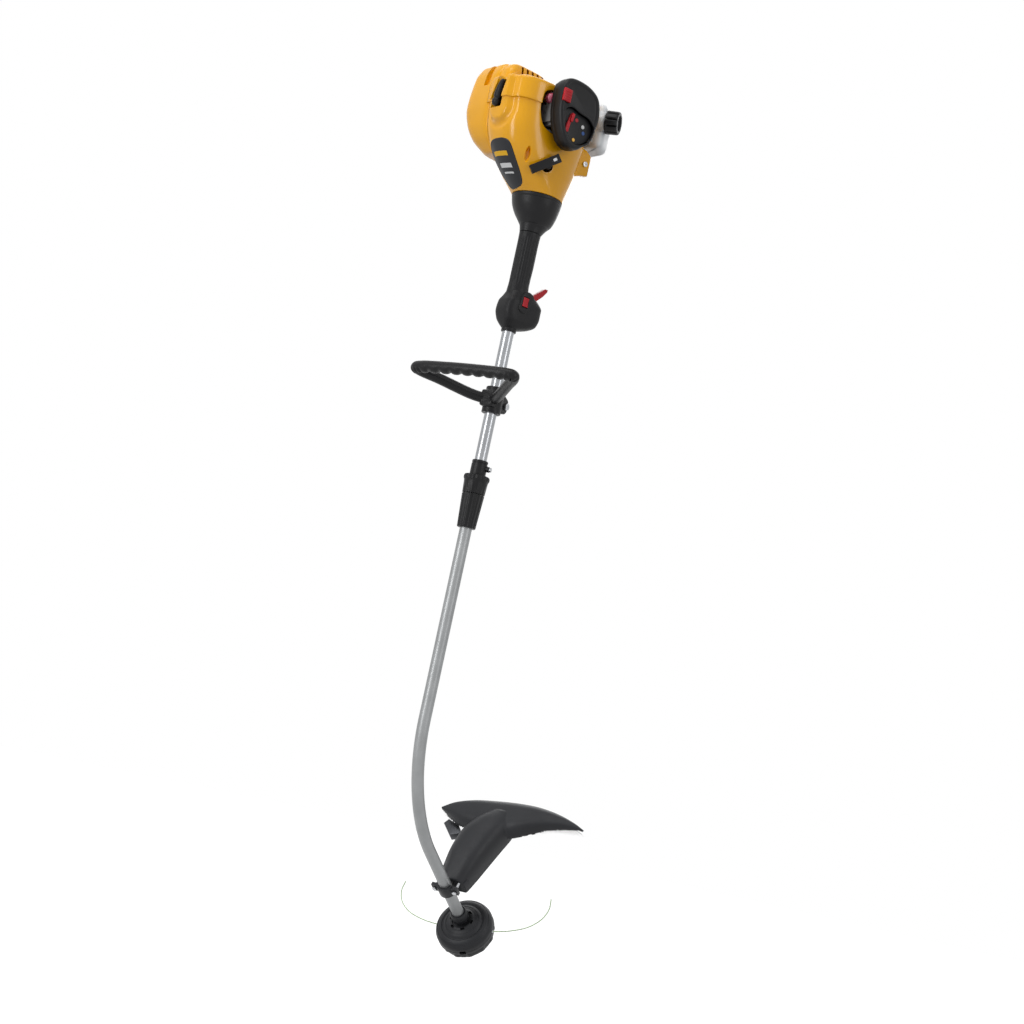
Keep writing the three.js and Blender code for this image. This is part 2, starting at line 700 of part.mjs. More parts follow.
function crankcase() {
  const body = join(rod(CASE_RADIUS, CASE_LOW, CASE_HIGH, 28), rod(13, CASE_LOW - 8, CASE_LOW + 4, 20),
    block(-36, 0, -26, 26, CYLINDER_Z - 26, CYLINDER_Z + 26));
  return cut(body, rod(DISC_RADIUS + 2, CASE_LOW + 5, CASE_HIGH - 3, 28),
    rod(SHAFT_RADIUS + GAP, CASE_LOW - 10, CASE_LOW + 8, 20),
    rodBetween(BARREL_RADIUS - 3, [-60, 0, CYLINDER_Z], [0, 0, CYLINDER_Z], 24));
}

function cylinder() {
  const low = -36 - GAP;
  const barrel = rodBetween(BARREL_RADIUS, [low, 0, CYLINDER_Z], [HEAD_X, 0, CYLINDER_Z], 24);
  const fins = [];
  for (let fin = 0; fin < FIN_COUNT; fin += 1) {
    const x = -48 - fin * 7;
    fins.push(block(x - 1.2, x + 1.2, -FIN_HALF, FIN_HALF, CYLINDER_Z - FIN_HALF, CYLINDER_Z + FIN_HALF));
  }
  const foot = block(-40, low, -26, 26, CYLINDER_Z - 26, CYLINDER_Z + 26);
  const intake = block(-54, -38, -36, -10, CYLINDER_Z - 14, CYLINDER_Z + 14);
  const exhaust = block(-62, -42, 10, 37, CYLINDER_Z - 16, CYLINDER_Z + 16);
  return cut(join(barrel, foot, intake, exhaust, ...fins),
    rodBetween(BORE_RADIUS, [low + 1, 0, CYLINDER_Z], [HEAD_X + 7, 0, CYLINDER_Z], 24),
    rodBetween(5, [CARB_X, -40, CYLINDER_Z], [CARB_X, 0, CYLINDER_Z], 12),
    rodBetween(6, [-52, 40, CYLINDER_Z], [-52, 0, CYLINDER_Z], 12),
    rodBetween(5.2, [HEAD_X - 1, 0, CYLINDER_Z], [HEAD_X + 9, 0, CYLINDER_Z], 12));
}

function piston() {
  const top = HEAD_X + 12;
  const crown = rodBetween(BORE_RADIUS - 0.2, [top, 0, CYLINDER_Z], [top + 28, 0, CYLINDER_Z], 24);
  const room = rodBetween(BORE_RADIUS - 3, [top + 4, 0, CYLINDER_Z], [top + 30, 0, CYLINDER_Z], 20);
  const pin = rodBetween(3.5, [top + 15, -BORE_RADIUS + 1, CYLINDER_Z], [top + 15, BORE_RADIUS - 1, CYLINDER_Z], 12);
  return join(cut(crown, room), pin);
}

function connectingRod() {
  const small = HEAD_X + 27;
  const big = -CRANK_THROW;
  const discHigh = CYLINDER_Z - 6;
  const eye = rodBetween(6.5, [small, -5, CYLINDER_Z], [small, 5, CYLINDER_Z], 16);
  const shank = block(small + 4, big - 5, -3, 3, CYLINDER_Z - 4, CYLINDER_Z + 4);
  const end = rod(8.5, CYLINDER_Z - 5, CYLINDER_Z + 5, 18, big, 0);
  const pin = rod(4.5, discHigh - 8 + 8 + 2 + GAP, CYLINDER_Z + 6, 14, big, 0);
  return cut(join(eye, shank, end, pin), rodBetween(3.5 + GAP, [small, -7, CYLINDER_Z], [small, 7, CYLINDER_Z], 12));
}

function sparkPlug() {
  const start = HEAD_X + 6;
  return join(rodBetween(4.9, [start, 0, CYLINDER_Z], [HEAD_X - 1, 0, CYLINDER_Z], 12),
    rodBetween(8, [HEAD_X - GAP - 0.05, 0, CYLINDER_Z], [HEAD_X - 9, 0, CYLINDER_Z], 6),
    rodBetween(4.5, [HEAD_X - 8, 0, CYLINDER_Z], [HEAD_X - 26, 0, CYLINDER_Z], 12));
}

function plugBoot() {
  const inner = HEAD_X - 12;
  return cut(join(rodBetween(8, [inner, 0, CYLINDER_Z], [HEAD_X - 31, 0, CYLINDER_Z], 16),
    rodBetween(5.5, [HEAD_X - 25, 0, CYLINDER_Z], [HEAD_X - 25, 0, CYLINDER_Z - 16], 12)),
  rodBetween(4.5 + GAP, [inner + 1, 0, CYLINDER_Z], [HEAD_X - 26 - GAP, 0, CYLINDER_Z], 12));
}

function ignitionModule() {
  const reach = FLYWHEEL_RADIUS + 1.2;
  return join(block(-78, -reach - 8, -16, 16, FLYWHEEL_Z + 2, FLYWHEEL_Z + 18), plugLead(), plugBoot(),
    block(-reach - 9, -reach, -13, -7, FLYWHEEL_Z + 5, FLYWHEEL_Z + 11),
    block(-reach - 9, -reach, 7, 13, FLYWHEEL_Z + 5, FLYWHEEL_Z + 11),
    block(-70, -60, -12, -4, FLYWHEEL_Z + 17, CYLINDER_Z - FIN_HALF - GAP),
    block(-70, -60, 4, 12, FLYWHEEL_Z + 17, CYLINDER_Z - FIN_HALF - GAP));
}

function plugLead() {
  return tubeAlong(smoothPath([[-76, 0, FLYWHEEL_Z + 10], [-90, 0, FLYWHEEL_Z + 16], [-106, 0, FLYWHEEL_Z + 34],
    [HEAD_X - 25, 0, CYLINDER_Z - 14]]), 2.5, 8, 12);
}

function muffler() {
  const box = loft([
    { z: CYLINDER_Z - 38, x0: -84, x1: -20, y0: 38, y1: 98, square: 6 },
    { z: CYLINDER_Z - 34, x0: -87, x1: -17, y0: 37.6, y1: 101, square: 6 },
    { z: CYLINDER_Z + 38, x0: -87, x1: -17, y0: 37.6, y1: 101, square: 6 },
    { z: CYLINDER_Z + 42, x0: -84, x1: -20, y0: 38, y1: 98, square: 6 },
  ], 24);
  return cut(box, loft([
    { z: CYLINDER_Z - 35, x0: -84, x1: -20, y0: 40, y1: 98, square: 6 },
    { z: CYLINDER_Z + 39, x0: -84, x1: -20, y0: 40, y1: 98, square: 6 },
  ], 20), rodBetween(6, [-52, 30, CYLINDER_Z], [-52, 45, CYLINDER_Z], 12),
  rod(7, CYLINDER_Z + 30, CYLINDER_Z + 60, 12, -30, 86));
}

add('flywheel', flywheel(), CAST);
add('crankshaft', crankshaft(), STEEL);
add('crankcase', crankcase(), CAST);
add('cylinder', cylinder(), CAST);
add('piston', piston(), CAST);
add('connecting_rod', connectingRod(), STEEL);
add('spark_plug', sparkPlug(), STEEL);
add('ignition_module', ignitionModule(), BLACK);
add('muffler', muffler(), CAST);

// ---- carburettor, air filter and choke --------------------------------------

function carburettor() {
  const low = COVER_BACK + 9 + GAP;
  const body = join(block(CARB_X - 18, CARB_X + 20, low, -36 - GAP, CYLINDER_Z - 17, CYLINDER_Z + 17),
    block(CARB_X - 12, CARB_X + 12, low, -50, CYLINDER_Z - 22, CYLINDER_Z + 22),
    primerSeat());
  return cut(body, rodBetween(6, [CARB_X, low - 1, CYLINDER_Z], [CARB_X, -30, CYLINDER_Z], 12));
}

function primerSeat() {
  const { x, y, z } = PRIMER_PLACE;
  const post = block(x + 7, x + 12, y - 5, y + 8, CYLINDER_Z + 10, z);
  const ring = rodBetween(PRIMER_RADIUS + 2, [x, y, z], [x + 12, y, z], 20);
  return join(post, cut(ring, rodBetween(PRIMER_RADIUS + GAP, [x - 1, y, z], [x + 7, y, z], 20)));
}

function primerBulb() {
  const { x, y, z } = PRIMER_PLACE;
  const dome = revolve([[0, 0], [PRIMER_RADIUS, 0], [PRIMER_RADIUS, 2], [PRIMER_RADIUS - 1.5, 6], [PRIMER_RADIUS - 4.5, 9.5],
    [0, 11]], 20);
  return dome.rotateY(-Math.PI / 2).translate(x + 2 - GAP, y, z);
}

const coverOutline = smoothOutline([[-71, 548], [-70, 570], [-58, 583], [-34, 586], [-8, 582], [12, 570],
  [21, 548], [22, 522], [13, 495], [-3, 470], [-20, 461], [-42, 468], [-59, 491], [-69, 520]], 30);
const windowOutline = smoothOutline([[-57, 512], [-55, 526], [-42, 533], [-22, 529], [2, 525], [14, 512],
  [10, 490], [-3, 476], [-20, 470], [-38, 477], [-52, 494]], 20);

function filterBase() {
  const plate = prismAcross(shrink(coverOutline, 1), COVER_BACK + GAP, COVER_BACK + 9);
  const panel = prismAcross(shrink(windowOutline, 1.2), -99, COVER_BACK + 5);
  return cut(join(plate, panel),
    rodBetween(8, [CARB_X, COVER_BACK + 20, CYLINDER_Z + 20], [CARB_X, COVER_BACK - 5, CYLINDER_Z + 20], 12),
    rodBetween(2.5 + GAP, [CHOKE_PIVOT.x, -110, CHOKE_PIVOT.z], [CHOKE_PIVOT.x, -90, CHOKE_PIVOT.z], 12));
}

function foamFilter() {
  return prismAcross(smoothOutline([[-47, 545], [-46, 568], [-30, 577], [-6, 573], [10, 556], [12, 540],
    [-10, 536], [-40, 539]], 24), -101, COVER_BACK - GAP);
}

function filterCover() {
  const body = prismAcross(coverOutline, COVER_FRONT + 5, COVER_BACK);
  const face = prismAcross(shrink(coverOutline, 4), COVER_FRONT, COVER_FRONT + 6);
  const room = prismAcross(shrink(coverOutline, COVER_WALL), COVER_FRONT + 5 + COVER_WALL, COVER_BACK + 1);
  const faceRoom = prismAcross(shrink(coverOutline, 4 + COVER_WALL), COVER_FRONT + COVER_WALL, COVER_BACK + 1);
  return cut(join(body, face), room, faceRoom, prismAcross(windowOutline, -REACH, -50), latchHole());
}

function latchHole() {
  return block(-70, -51, -REACH, -90, 536, 561);
}

function latchButton() {
  return block(-69.4, -51.6, COVER_FRONT - 1.5, COVER_FRONT + 4, 536.6, 560.4);
}

function chokeLever() {
  const { x, z } = CHOKE_PIVOT;
  const arm = prismAcross([[x - 3.5, z - 4], [x + 3.5, z - 4], [x + 4.5, z + 8], [x + 8.5, z + 30], [x + 3, z + 31],
    [x - 1.5, z + 12]], -102.5, -99 - GAP);
  const knob = prismAcross([[x + 2, z + 16], [x + 6, z + 15], [x + 8.5, z + 30], [x + 3, z + 31]], -107, -102);
  const stem = rodBetween(2.5, [x, -100, z], [x, -93, z], 12);
  return join(arm, knob, stem);
}

add('carburettor', carburettor(), CAST);
add('primer_bulb', primerBulb(), BULB_PINK);
add('filter_base', filterBase(), BLACK);
add('foam_filter', foamFilter(), FOAM);
add('filter_cover', filterCover(), BLACK);
add('latch_button', latchButton(), RED);
add('choke_lever', chokeLever(), RED);

// ---- fuel tank ----------------------------------------------------------------

const neckAngle = THREE.MathUtils.degToRad(NECK_TURN);
const neckZ = 557;

function alongNeck(distance) {
  const side = NECK_SIDE;
  return [distance * Math.sin(neckAngle) + side * Math.cos(neckAngle),
    -distance * Math.cos(neckAngle) + side * Math.sin(neckAngle), neckZ];
}

const tankPlan = [[64, 50], [64, -34], [68, -52], [82, -52], [114, -28], [114, 42], [106, 50]];

function tankBody(wall) {
  const plan = prism(wall > 0 ? shrink(tankPlan, wall * 1.3) : tankPlan, TANK_LOW + wall, TANK_HIGH - wall);
  const profile = prismAcross([[62, TANK_LOW + wall], [106 - wall, TANK_LOW + wall],
    [116 - wall, TANK_LOW + 12], [116 - wall, TANK_HIGH - 26], [100 - wall, TANK_HIGH - wall],
    [62, TANK_HIGH - wall]], -REACH, REACH);
  return keep(plan, profile);
}

function fuelTank() {
  const neck = rodBetween(NECK_RADIUS, alongNeck(NECK_FACE - 4), alongNeck(NECK_FACE + 15), 20);
  const mouth = rodBetween(NECK_RADIUS - 2.5, alongNeck(NECK_FACE - 16), alongNeck(NECK_FACE + 20), 16);
  return cut(join(tankBody(0), neck), tankBody(TANK_WALL), mouth);
}

function fuelCap() {
  const face = NECK_FACE + 4;
  const outer = rodBetween(CAP_RADIUS, alongNeck(face), alongNeck(face + CAP_DEPTH), 28);
  const room = rodBetween(NECK_RADIUS + GAP, alongNeck(face - 1), alongNeck(NECK_FACE + 15 + GAP), 20);
  const dish = rodBetween(CAP_RADIUS - 8, alongNeck(face + CAP_DEPTH - 3), alongNeck(face + CAP_DEPTH + 1), 20);
  const grooves = [];
  for (let groove = 0; groove < 10; groove += 1) {
    const notch = block(CAP_RADIUS - 1.2, CAP_RADIUS + 2, -1, 1, 4, CAP_DEPTH + 1);
    notch.rotateZ((2 * Math.PI * groove) / 10).rotateX(Math.PI / 2).rotateZ(neckAngle);
    const foot = alongNeck(face);
    grooves.push(notch.translate(foot[0], foot[1], foot[2]));
  }
  return cut(outer, room, dish, ...grooves);
}

function fuelLine() {
  return tubeAlong(smoothPath([[64 - GAP - 0.2, -30, 514], [58, -30, 514], [44, -34, 506], [22, -46, 492], [-10, -52, 486],
    [-30, -60, 492], [CARB_X + 8, -62, CYLINDER_Z - 22 - GAP - 2]]), 2.4, 8, 16);
}

add('fuel_tank', fuelTank(), TANK_WHITE);
add('fuel_cap', fuelCap(), BLACK);
add('fuel_line', fuelLine(), FUEL_HOSE);
add('lug_screw', bolt(2.3, 5, 3, [63, -36 - GAP, 472], [63, -22, 472], 14), STEEL);

// ---- stowed tool bar -----------------------------------------------------------

function toolPlace(shape) {
  const holder = new THREE.Object3D();
  holder.position.set(-43, -59, 430);
  holder.rotation.set(0, 0, THREE.MathUtils.degToRad(-28));
  holder.rotateX(THREE.MathUtils.degToRad(8));
  holder.rotateY(THREE.MathUtils.degToRad(-36));
  holder.updateMatrix();
  return shape.applyMatrix4(holder.matrix);
}

function toolPocket() {
  return toolPlace(rodBetween(7, [4, -20, -6], [4, 20, -6], 14));
}

function toolBar() {
  const bar = block(-29, 29, -8, 0, -8, 8);
  const stem = rodBetween(5.5, [4, -4, -6], [4, 14, -6], 14);
  return join(toolPlace(bar), toolPlace(stem));
}

add('tool_bar', toolBar(), BLACK);
add('badge', badge(), CHARCOAL);

// ---- loop handle, lower shaft, guard and head share the bend's direction --------

const bend = new THREE.Group();
bend.rotation.z = THREE.MathUtils.degToRad(BEND_TURN);
trimmer.add(bend);

const loopFrame = new THREE.Group();
loopFrame.rotation.z = THREE.MathUtils.degToRad(LOOP_TURN);
bend.add(loopFrame);

function loopHandle() {
  const far = LOOP_REACH;
  const wide = LOOP_HALF_WIDTH;
  const rise = LOOP_RISE;
  const leg = [[-14, 9, 0], [-34, 28, 1.5], [-82, 73, rise * 0.62], [-far + 17, wide - 8, rise * 0.84],
    [-far + 6, wide - 3, rise * 0.95], [-far, wide - 17, rise], [-far - 3, 30, rise + 1]];
  const mirrored = leg.map(([x, y, z]) => [x, -y, z]).reverse();
  const loop = tubeAlong(smoothPath([...leg, ...mirrored]), LOOP_BAR_RADIUS, 8, 34);
  const ring = rod(CLAMP_RADIUS, -CLAMP_HALF_HEIGHT, CLAMP_HALF_HEIGHT, 28);
  const root = block(-24, -8, -14, 14, -15, 15);
  const ears = prismAcross([[8, -15], [26, -17], [34, -10], [34, 6], [26, 13], [8, 15]], -12, 12);
  return cut(join(loop, ring, root, ears), rod(seatRadius, -60, 60, 24), block(6, 60, -1.5, 1.5, -60, 60),
    rodBetween(LOOP_BOLT_RADIUS + GAP, [25, -60, -3], [25, 60, -3], 12));
}

add('loop_handle', loopHandle(), BLACK, loopFrame);
add('handle_bolt', bolt(LOOP_BOLT_RADIUS, 6.5, 5, [25, -12 - GAP, -3], [25, 18, -3], 8), STEEL, loopFrame);

const bendAngle = THREE.MathUtils.degToRad(BEND_ANGLE);

class ShaftCurve extends THREE.Curve {
  constructor(top) {
    super();
    this.top = top;
    this.straight = top - BEND_TOP;
    this.arc = BEND_RADIUS * bendAngle;
    this.length = this.straight + this.arc + END_STRAIGHT;
  }

  getPoint(share, target = new THREE.Vector3()) {
    const run = share * this.length;
    if (run <= this.straight) return target.set(0, 0, this.top - run);
    const turn = Math.min((run - this.straight) / BEND_RADIUS, bendAngle);
    const rest = Math.max(run - this.straight - this.arc, 0);
    const x = BEND_RADIUS * (1 - Math.cos(turn)) + rest * Math.sin(turn);
    const z = BEND_TOP - BEND_RADIUS * Math.sin(turn) - rest * Math.cos(turn);
    return target.set(x, 0, z);
  }
}

const lowerTop = JOINT_Z - 2;
const shaftCurve = new ShaftCurve(lowerTop);
const shaftSteps = 30;

function lowerTube() {
  const bore = new ShaftCurve(lowerTop);
  const outer = solid(tubeAlong(shaftCurve, TUBE_RADIUS, 12, shaftSteps));
  const inner = tubeAlong(bore, tubeBore, 8, shaftSteps);
  const mouth = rod(tubeBore, lowerTop - 1, lowerTop + 5, 12);
  return cut(outer, inner, mouth);
}

add('lower_tube', lowerTube(), SATIN, bend);

const headFrame = new THREE.Group();
headFrame.position.copy(shaftCurve.getPoint(1));
headFrame.rotation.y = -bendAngle;
bend.add(headFrame);

class CableCurve extends ShaftCurve {
  constructor() {
    super(lowerTop - 14);
    this.length -= 18;
  }
}

add('drive_cable_lower', tubeAlong(new CableCurve(), CABLE_RADIUS, 6, 30), STEEL, bend);

// ---- trimmer head, in its own frame: the tube's end is the origin, +Z up the tube --

function endCap() {
  return revolve([[ARBOR_RADIUS + GAP, -10], [13, -10], [16, -6], [16, 10], [14.5, 13], [seatRadius, 13],
    [seatRadius, -GAP], [ARBOR_RADIUS + GAP, -GAP]], 28);
}

function arbor() {
  return revolve([[0, KNOB_LOW + 14], [ARBOR_RADIUS, KNOB_LOW + 14], [ARBOR_RADIUS, 17], [0, 17]], 16);
}

function headHousing() {
  const low = HEAD_SIDE_LOW;
  const wall = HEAD_WALL;
  const body = revolve([
    [HEAD_RADIUS - wall, low], [HEAD_RADIUS - 0.5, low], [HEAD_RADIUS, low + 2], [HEAD_RADIUS, HEAD_SIDE_TOP - 1],
    [HEAD_RADIUS - 2, HEAD_SIDE_TOP + 5], [HEAD_RADIUS - 7, HEAD_SIDE_TOP + 10], [HEAD_RADIUS - 14, HEAD_TOP - 8],
    [HEAD_RADIUS - 17, HEAD_TOP - 9], [HEAD_RADIUS - 22, HEAD_TOP - 5], [24, HEAD_TOP - 2], [20, HEAD_TOP],
    [18, HEAD_TOP], [18, HEAD_TOP - 4], [ARBOR_RADIUS + 0.05, HEAD_TOP - 4], [ARBOR_RADIUS + 0.05, HEAD_TOP - 10],
    [22, HEAD_TOP - 10], [HEAD_RADIUS - 18, HEAD_TOP - 12], [HEAD_RADIUS - 9, HEAD_SIDE_TOP + 5],
    [HEAD_RADIUS - wall, HEAD_SIDE_TOP - 2],
  ], 28);
  const holes = [-1, 1].map((side) => rodBetween(2.6 + GAP, [0, side * (HEAD_RADIUS - 12), EYELET_Z],
    [0, side * (HEAD_RADIUS + 5), EYELET_Z], 12));
  return cut(body, ...holes.map((hole) => hole.rotateZ(eyeletTurn)));
}

const eyeletTurn = THREE.MathUtils.degToRad(6);

function headCover() {
  const top = HEAD_SIDE_LOW - GAP;
  const rim = HEAD_RADIUS - 4.5;
  const body = revolve([
    [KNOB_RADIUS + 1, HEAD_COVER_LOW], [rim - 6, HEAD_COVER_LOW], [rim, HEAD_COVER_LOW + 5], [rim, top],
    [rim - 3, top], [rim - 3, HEAD_COVER_LOW + 5], [rim - 8, HEAD_COVER_LOW + 3],
    [KNOB_RADIUS + 1, HEAD_COVER_LOW + 3],
  ], 28);
  const ribs = [];
  for (let rib = 0; rib < 12; rib += 1) {
    const bar = rod(2.6, HEAD_COVER_LOW + 5, top, 6, rim, 0);
    ribs.push(bar.rotateZ((2 * Math.PI * rib) / 12));
  }
  return join(body, ...ribs);
}

function spool() {
  const high = HEAD_TOP - 12;
  const low = HEAD_COVER_LOW + 5.5;
  return revolve([[ARBOR_RADIUS + 6, low], [36, low], [36, low + 2], [16, low + 2], [16, high - 12],
    [36, high - 12], [36, high - 10], [ARBOR_RADIUS + 6, high - 10]], 28);
}

function spoolSpring() {
  const high = HEAD_TOP - 10 - KNOB_TRAVEL - GAP;
  return revolve([[ARBOR_RADIUS + 1, -44], [ARBOR_RADIUS + 5, -44], [ARBOR_RADIUS + 5, high],
    [ARBOR_RADIUS + 1, high]], 16);
}

function bumpKnob() {
  return revolve([[0, KNOB_LOW], [14, KNOB_LOW], [20, KNOB_LOW + 2], [KNOB_RADIUS, KNOB_LOW + 6],
    [KNOB_RADIUS, HEAD_COVER_LOW + 1], [ARBOR_RADIUS + 5, HEAD_COVER_LOW + 2], [ARBOR_RADIUS + 5, -44 - GAP],
    [ARBOR_RADIUS + GAP, -44 - GAP], [ARBOR_RADIUS + GAP, KNOB_LOW + 5], [0, KNOB_LOW + 5]], 28);
}

function eyelet(side) {
  const ring = cut(rodBetween(2.6, [0, side * (HEAD_RADIUS - 6), EYELET_Z], [0, side * (HEAD_RADIUS + 1.6), EYELET_Z], 12),
    rodBetween(LINE_RADIUS + GAP, [0, side * (HEAD_RADIUS - 8), EYELET_Z], [0, side * (HEAD_RADIUS + 4), EYELET_Z], 10));
  return surface(ring).rotateZ(eyeletTurn);
}

function cuttingLine(side) {
  const start = HEAD_RADIUS - 5;
  const points = [[0, side * start, EYELET_Z], [0.5, side * (start + 12), EYELET_Z],
    [6, side * 92, EYELET_Z + 1], [18, side * 123, EYELET_Z + 2], [38, side * 145, EYELET_Z + 4],
    [60, side * 153, EYELET_Z + 6], [80, side * 151, EYELET_Z + 8]];
  return tubeAlong(smoothPath(points), LINE_RADIUS, 8, 22).rotateZ(eyeletTurn);
}

add('tube_end_cap', endCap(), CHARCOAL, headFrame);
add('head_arbor', arbor(), STEEL, headFrame);
add('head_housing', headHousing(), CHARCOAL, headFrame);
add('head_cover', headCover(), BLACK, headFrame);
add('spool', spool(), BLACK, headFrame);
add('spool_spring', spoolSpring(), STEEL, headFrame);
add('bump_knob', bumpKnob(), BLACK, headFrame);
add('eyelet_left', eyelet(1), STEEL, headFrame);
add('eyelet_right', eyelet(-1), STEEL, headFrame);
add('cutting_line_left', cuttingLine(1), LINE_GREEN, headFrame);
add('cutting_line_right', cuttingLine(-1), LINE_GREEN, headFrame);

// ---- guard -------------------------------------------------------------------------

// The wing is a curved sheet between its front and outer edges, left tip to right tip.
const guardFront = smoothPath([[166, 92, 0], [156, 74, 0], [146, 50, 0], [140, 20, 0], [134, -30, 0],
  [140, -66, 0], [156, -98, 0], [172, -134, 0], [183, -178, 0], [186, -196, 0]]);
const guardOuter = smoothPath([[172, 95, 0], [190, 72, 0], [202, 36, 0], [208, 0, 0], [214, -50, 0],
  [215, -100, 0], [209, -146, 0], [200, -176, 0], [190, -198, 0]]);

function guardWing() {
  const geometry = new THREE.BoxGeometry(1, 1, 2, GUARD_ROWS, GUARD_COLUMNS, 1);
  const place = geometry.attributes.position;
  for (let index = 0; index < place.count; index += 1) {
    const front = guardFront.getPoint(0.5 - place.getY(index));
    const outer = guardOuter.getPoint(0.5 - place.getY(index));
    const across = place.getX(index) + 0.5;
    const point = front.clone().lerp(outer, across);
    const rounded = Math.abs(2 * across - 1) ** 4;
    const wing = Math.abs(point.y - WING_MIDDLE) / 165;
    const lift = (place.getZ(index) > 0 ? 1 : -1) * (GUARD_THICK / 2);
    const drop = (across < 0.5 ? 22 : 14) * rounded + WING_DROP * wing ** 3;
    place.setXYZ(index, point.x, point.y, GUARD_TOP - drop + lift);
  }
  return geometry;
}

// The hollow ridge from the clamp to the wing: rounded box sections at their distance back.
function ridge(wall) {
  const rows = [
    { at: 14, left: 25, right: -27, top: 98, square: 4 },
    { at: 45, left: 30, right: -36, top: 106, square: 3.4 },
    { at: 85, left: 32, right: -46, top: 112, square: 3 },
    { at: 120, left: 30, right: -55, top: 113, square: 2.7 },
    { at: 150, left: 20, right: -62, top: 110, square: 2.4 },
    { at: 184, left: -4, right: -64, top: 100, square: 2.2 },
  ];
  const last = rows.length - 1;
  const stations = rows.map((row, index) => ({
    z: row.at - (index === last ? wall : 0) - (index === 0 ? 4 * wall : 0),
    x0: -row.top + wall,
    x1: -RIDGE_LOW,
    y0: row.right + wall,
    y1: row.left - wall,
    square: row.square,
  }));
  return loft(stations, 16).rotateY(Math.PI / 2);
}

function guard() {
  const low = GUARD_CLAMP_LOW;
  const high = GUARD_CLAMP_HIGH;
  const ear = GUARD_BOLT_Y + 6;
  const seat = join(keep(rod(GUARD_CLAMP_RADIUS, low, high, 24), block(0.6, 60, -60, 60, low - 1, high + 1)),
    block(0.6, 8, -ear, ear, low, high), block(7, 18, -24, 22, low, high));
  const below = block(-60, REACH, -REACH, REACH, -REACH, GUARD_LOW);
  const shell = cut(join(guardWing(), ridge(0)), cut(ridge(GUARD_THICK)), below,
    block(16, 150, -24, 20, RIDGE_LOW - 40, GUARD_LOW + 12));
  return cut(join(shell, seat), rod(seatRadius, 0, 200, 24), ...guardBoltHoles());
}

function guardBoltHoles() {
  return [-1, 1].map((side) => rodBetween(GUARD_BOLT_RADIUS + GAP, [-40, side * GUARD_BOLT_Y, GUARD_CLAMP_Z],
    [30, side * GUARD_BOLT_Y, GUARD_CLAMP_Z], 12));
}

function guardClamp() {
  const low = GUARD_CLAMP_LOW;
  const high = GUARD_CLAMP_HIGH;
  const ear = GUARD_BOLT_Y + 6;
  const ring = keep(rod(GUARD_CLAMP_RADIUS, low, high, 24), block(-60, -0.6, -60, 60, low - 1, high + 1));
  const ears = block(-7, -0.6, -ear, ear, low + 3, high - 3);
  return cut(join(ring, ears), rod(seatRadius, 0, 200, 24), ...guardBoltHoles());
}

function guardBolt(side) {
  return bolt(GUARD_BOLT_RADIUS, 4.5, 4, [-7 - GAP, side * GUARD_BOLT_Y, GUARD_CLAMP_Z],
    [13, side * GUARD_BOLT_Y, GUARD_CLAMP_Z], 6);
}

function lineCutter() {
  return prism([[150, 86], [161, 80], [152, 54], [136, 42], [127, 63]], GUARD_LOW - 14, CUTTER_TOP);
}

add('guard', guard(), CHARCOAL, headFrame);
add('guard_clamp', guardClamp(), CHARCOAL, headFrame);
add('guard_bolt_left', guardBolt(1), STEEL, headFrame);
add('guard_bolt_right', guardBolt(-1), STEEL, headFrame);
add('line_cutter', lineCutter(), STEEL, headFrame);

export default trimmer;
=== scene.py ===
# %% [markdown]
# # A petrol string trimmer, piece by piece
# The fixed frame holds the measured mechanical parts. Each visible part of the real machine is a
# moulding, a tube or a turned piece, so most pieces here start as one ring of points that is
# extruded again and again, the way a moulder sweeps a section along a part.

# %% Load the frame
import bpy
import bmesh
import math
from mathutils import Matrix, Vector


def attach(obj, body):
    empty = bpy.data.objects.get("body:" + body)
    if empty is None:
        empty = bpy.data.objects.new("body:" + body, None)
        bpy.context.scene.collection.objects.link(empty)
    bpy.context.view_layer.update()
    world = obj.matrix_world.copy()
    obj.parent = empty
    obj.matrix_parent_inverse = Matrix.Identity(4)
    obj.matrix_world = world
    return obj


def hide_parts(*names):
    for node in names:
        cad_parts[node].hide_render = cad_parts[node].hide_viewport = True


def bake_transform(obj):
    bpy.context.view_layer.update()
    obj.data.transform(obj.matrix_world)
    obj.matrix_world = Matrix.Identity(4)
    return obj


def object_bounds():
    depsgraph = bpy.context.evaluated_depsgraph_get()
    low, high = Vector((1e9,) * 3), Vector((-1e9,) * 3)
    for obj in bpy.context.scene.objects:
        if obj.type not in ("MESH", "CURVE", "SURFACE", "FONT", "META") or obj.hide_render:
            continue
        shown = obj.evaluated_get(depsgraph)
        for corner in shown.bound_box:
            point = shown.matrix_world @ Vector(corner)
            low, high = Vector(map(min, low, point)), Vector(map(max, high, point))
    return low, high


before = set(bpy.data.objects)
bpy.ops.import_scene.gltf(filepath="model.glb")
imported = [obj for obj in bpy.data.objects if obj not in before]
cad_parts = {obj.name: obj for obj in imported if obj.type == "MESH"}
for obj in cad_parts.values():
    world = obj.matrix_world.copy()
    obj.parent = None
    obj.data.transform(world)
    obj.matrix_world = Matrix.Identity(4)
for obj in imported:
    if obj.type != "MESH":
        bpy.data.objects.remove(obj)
cad_box = [list(corner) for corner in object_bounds()]
MM = 0.001
print("frame nodes:", len(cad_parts), "box:", cad_box)

# %% [markdown]
# ## Camera, floor and light
# The machine is looked at from the air filter's side, from a little below the loop handle and
# leaning slightly. A long lens keeps the shaft straight. The floor and the world look white to the
# camera and in reflections. The rest of the light comes from a dimmer sky and four soft boxes.

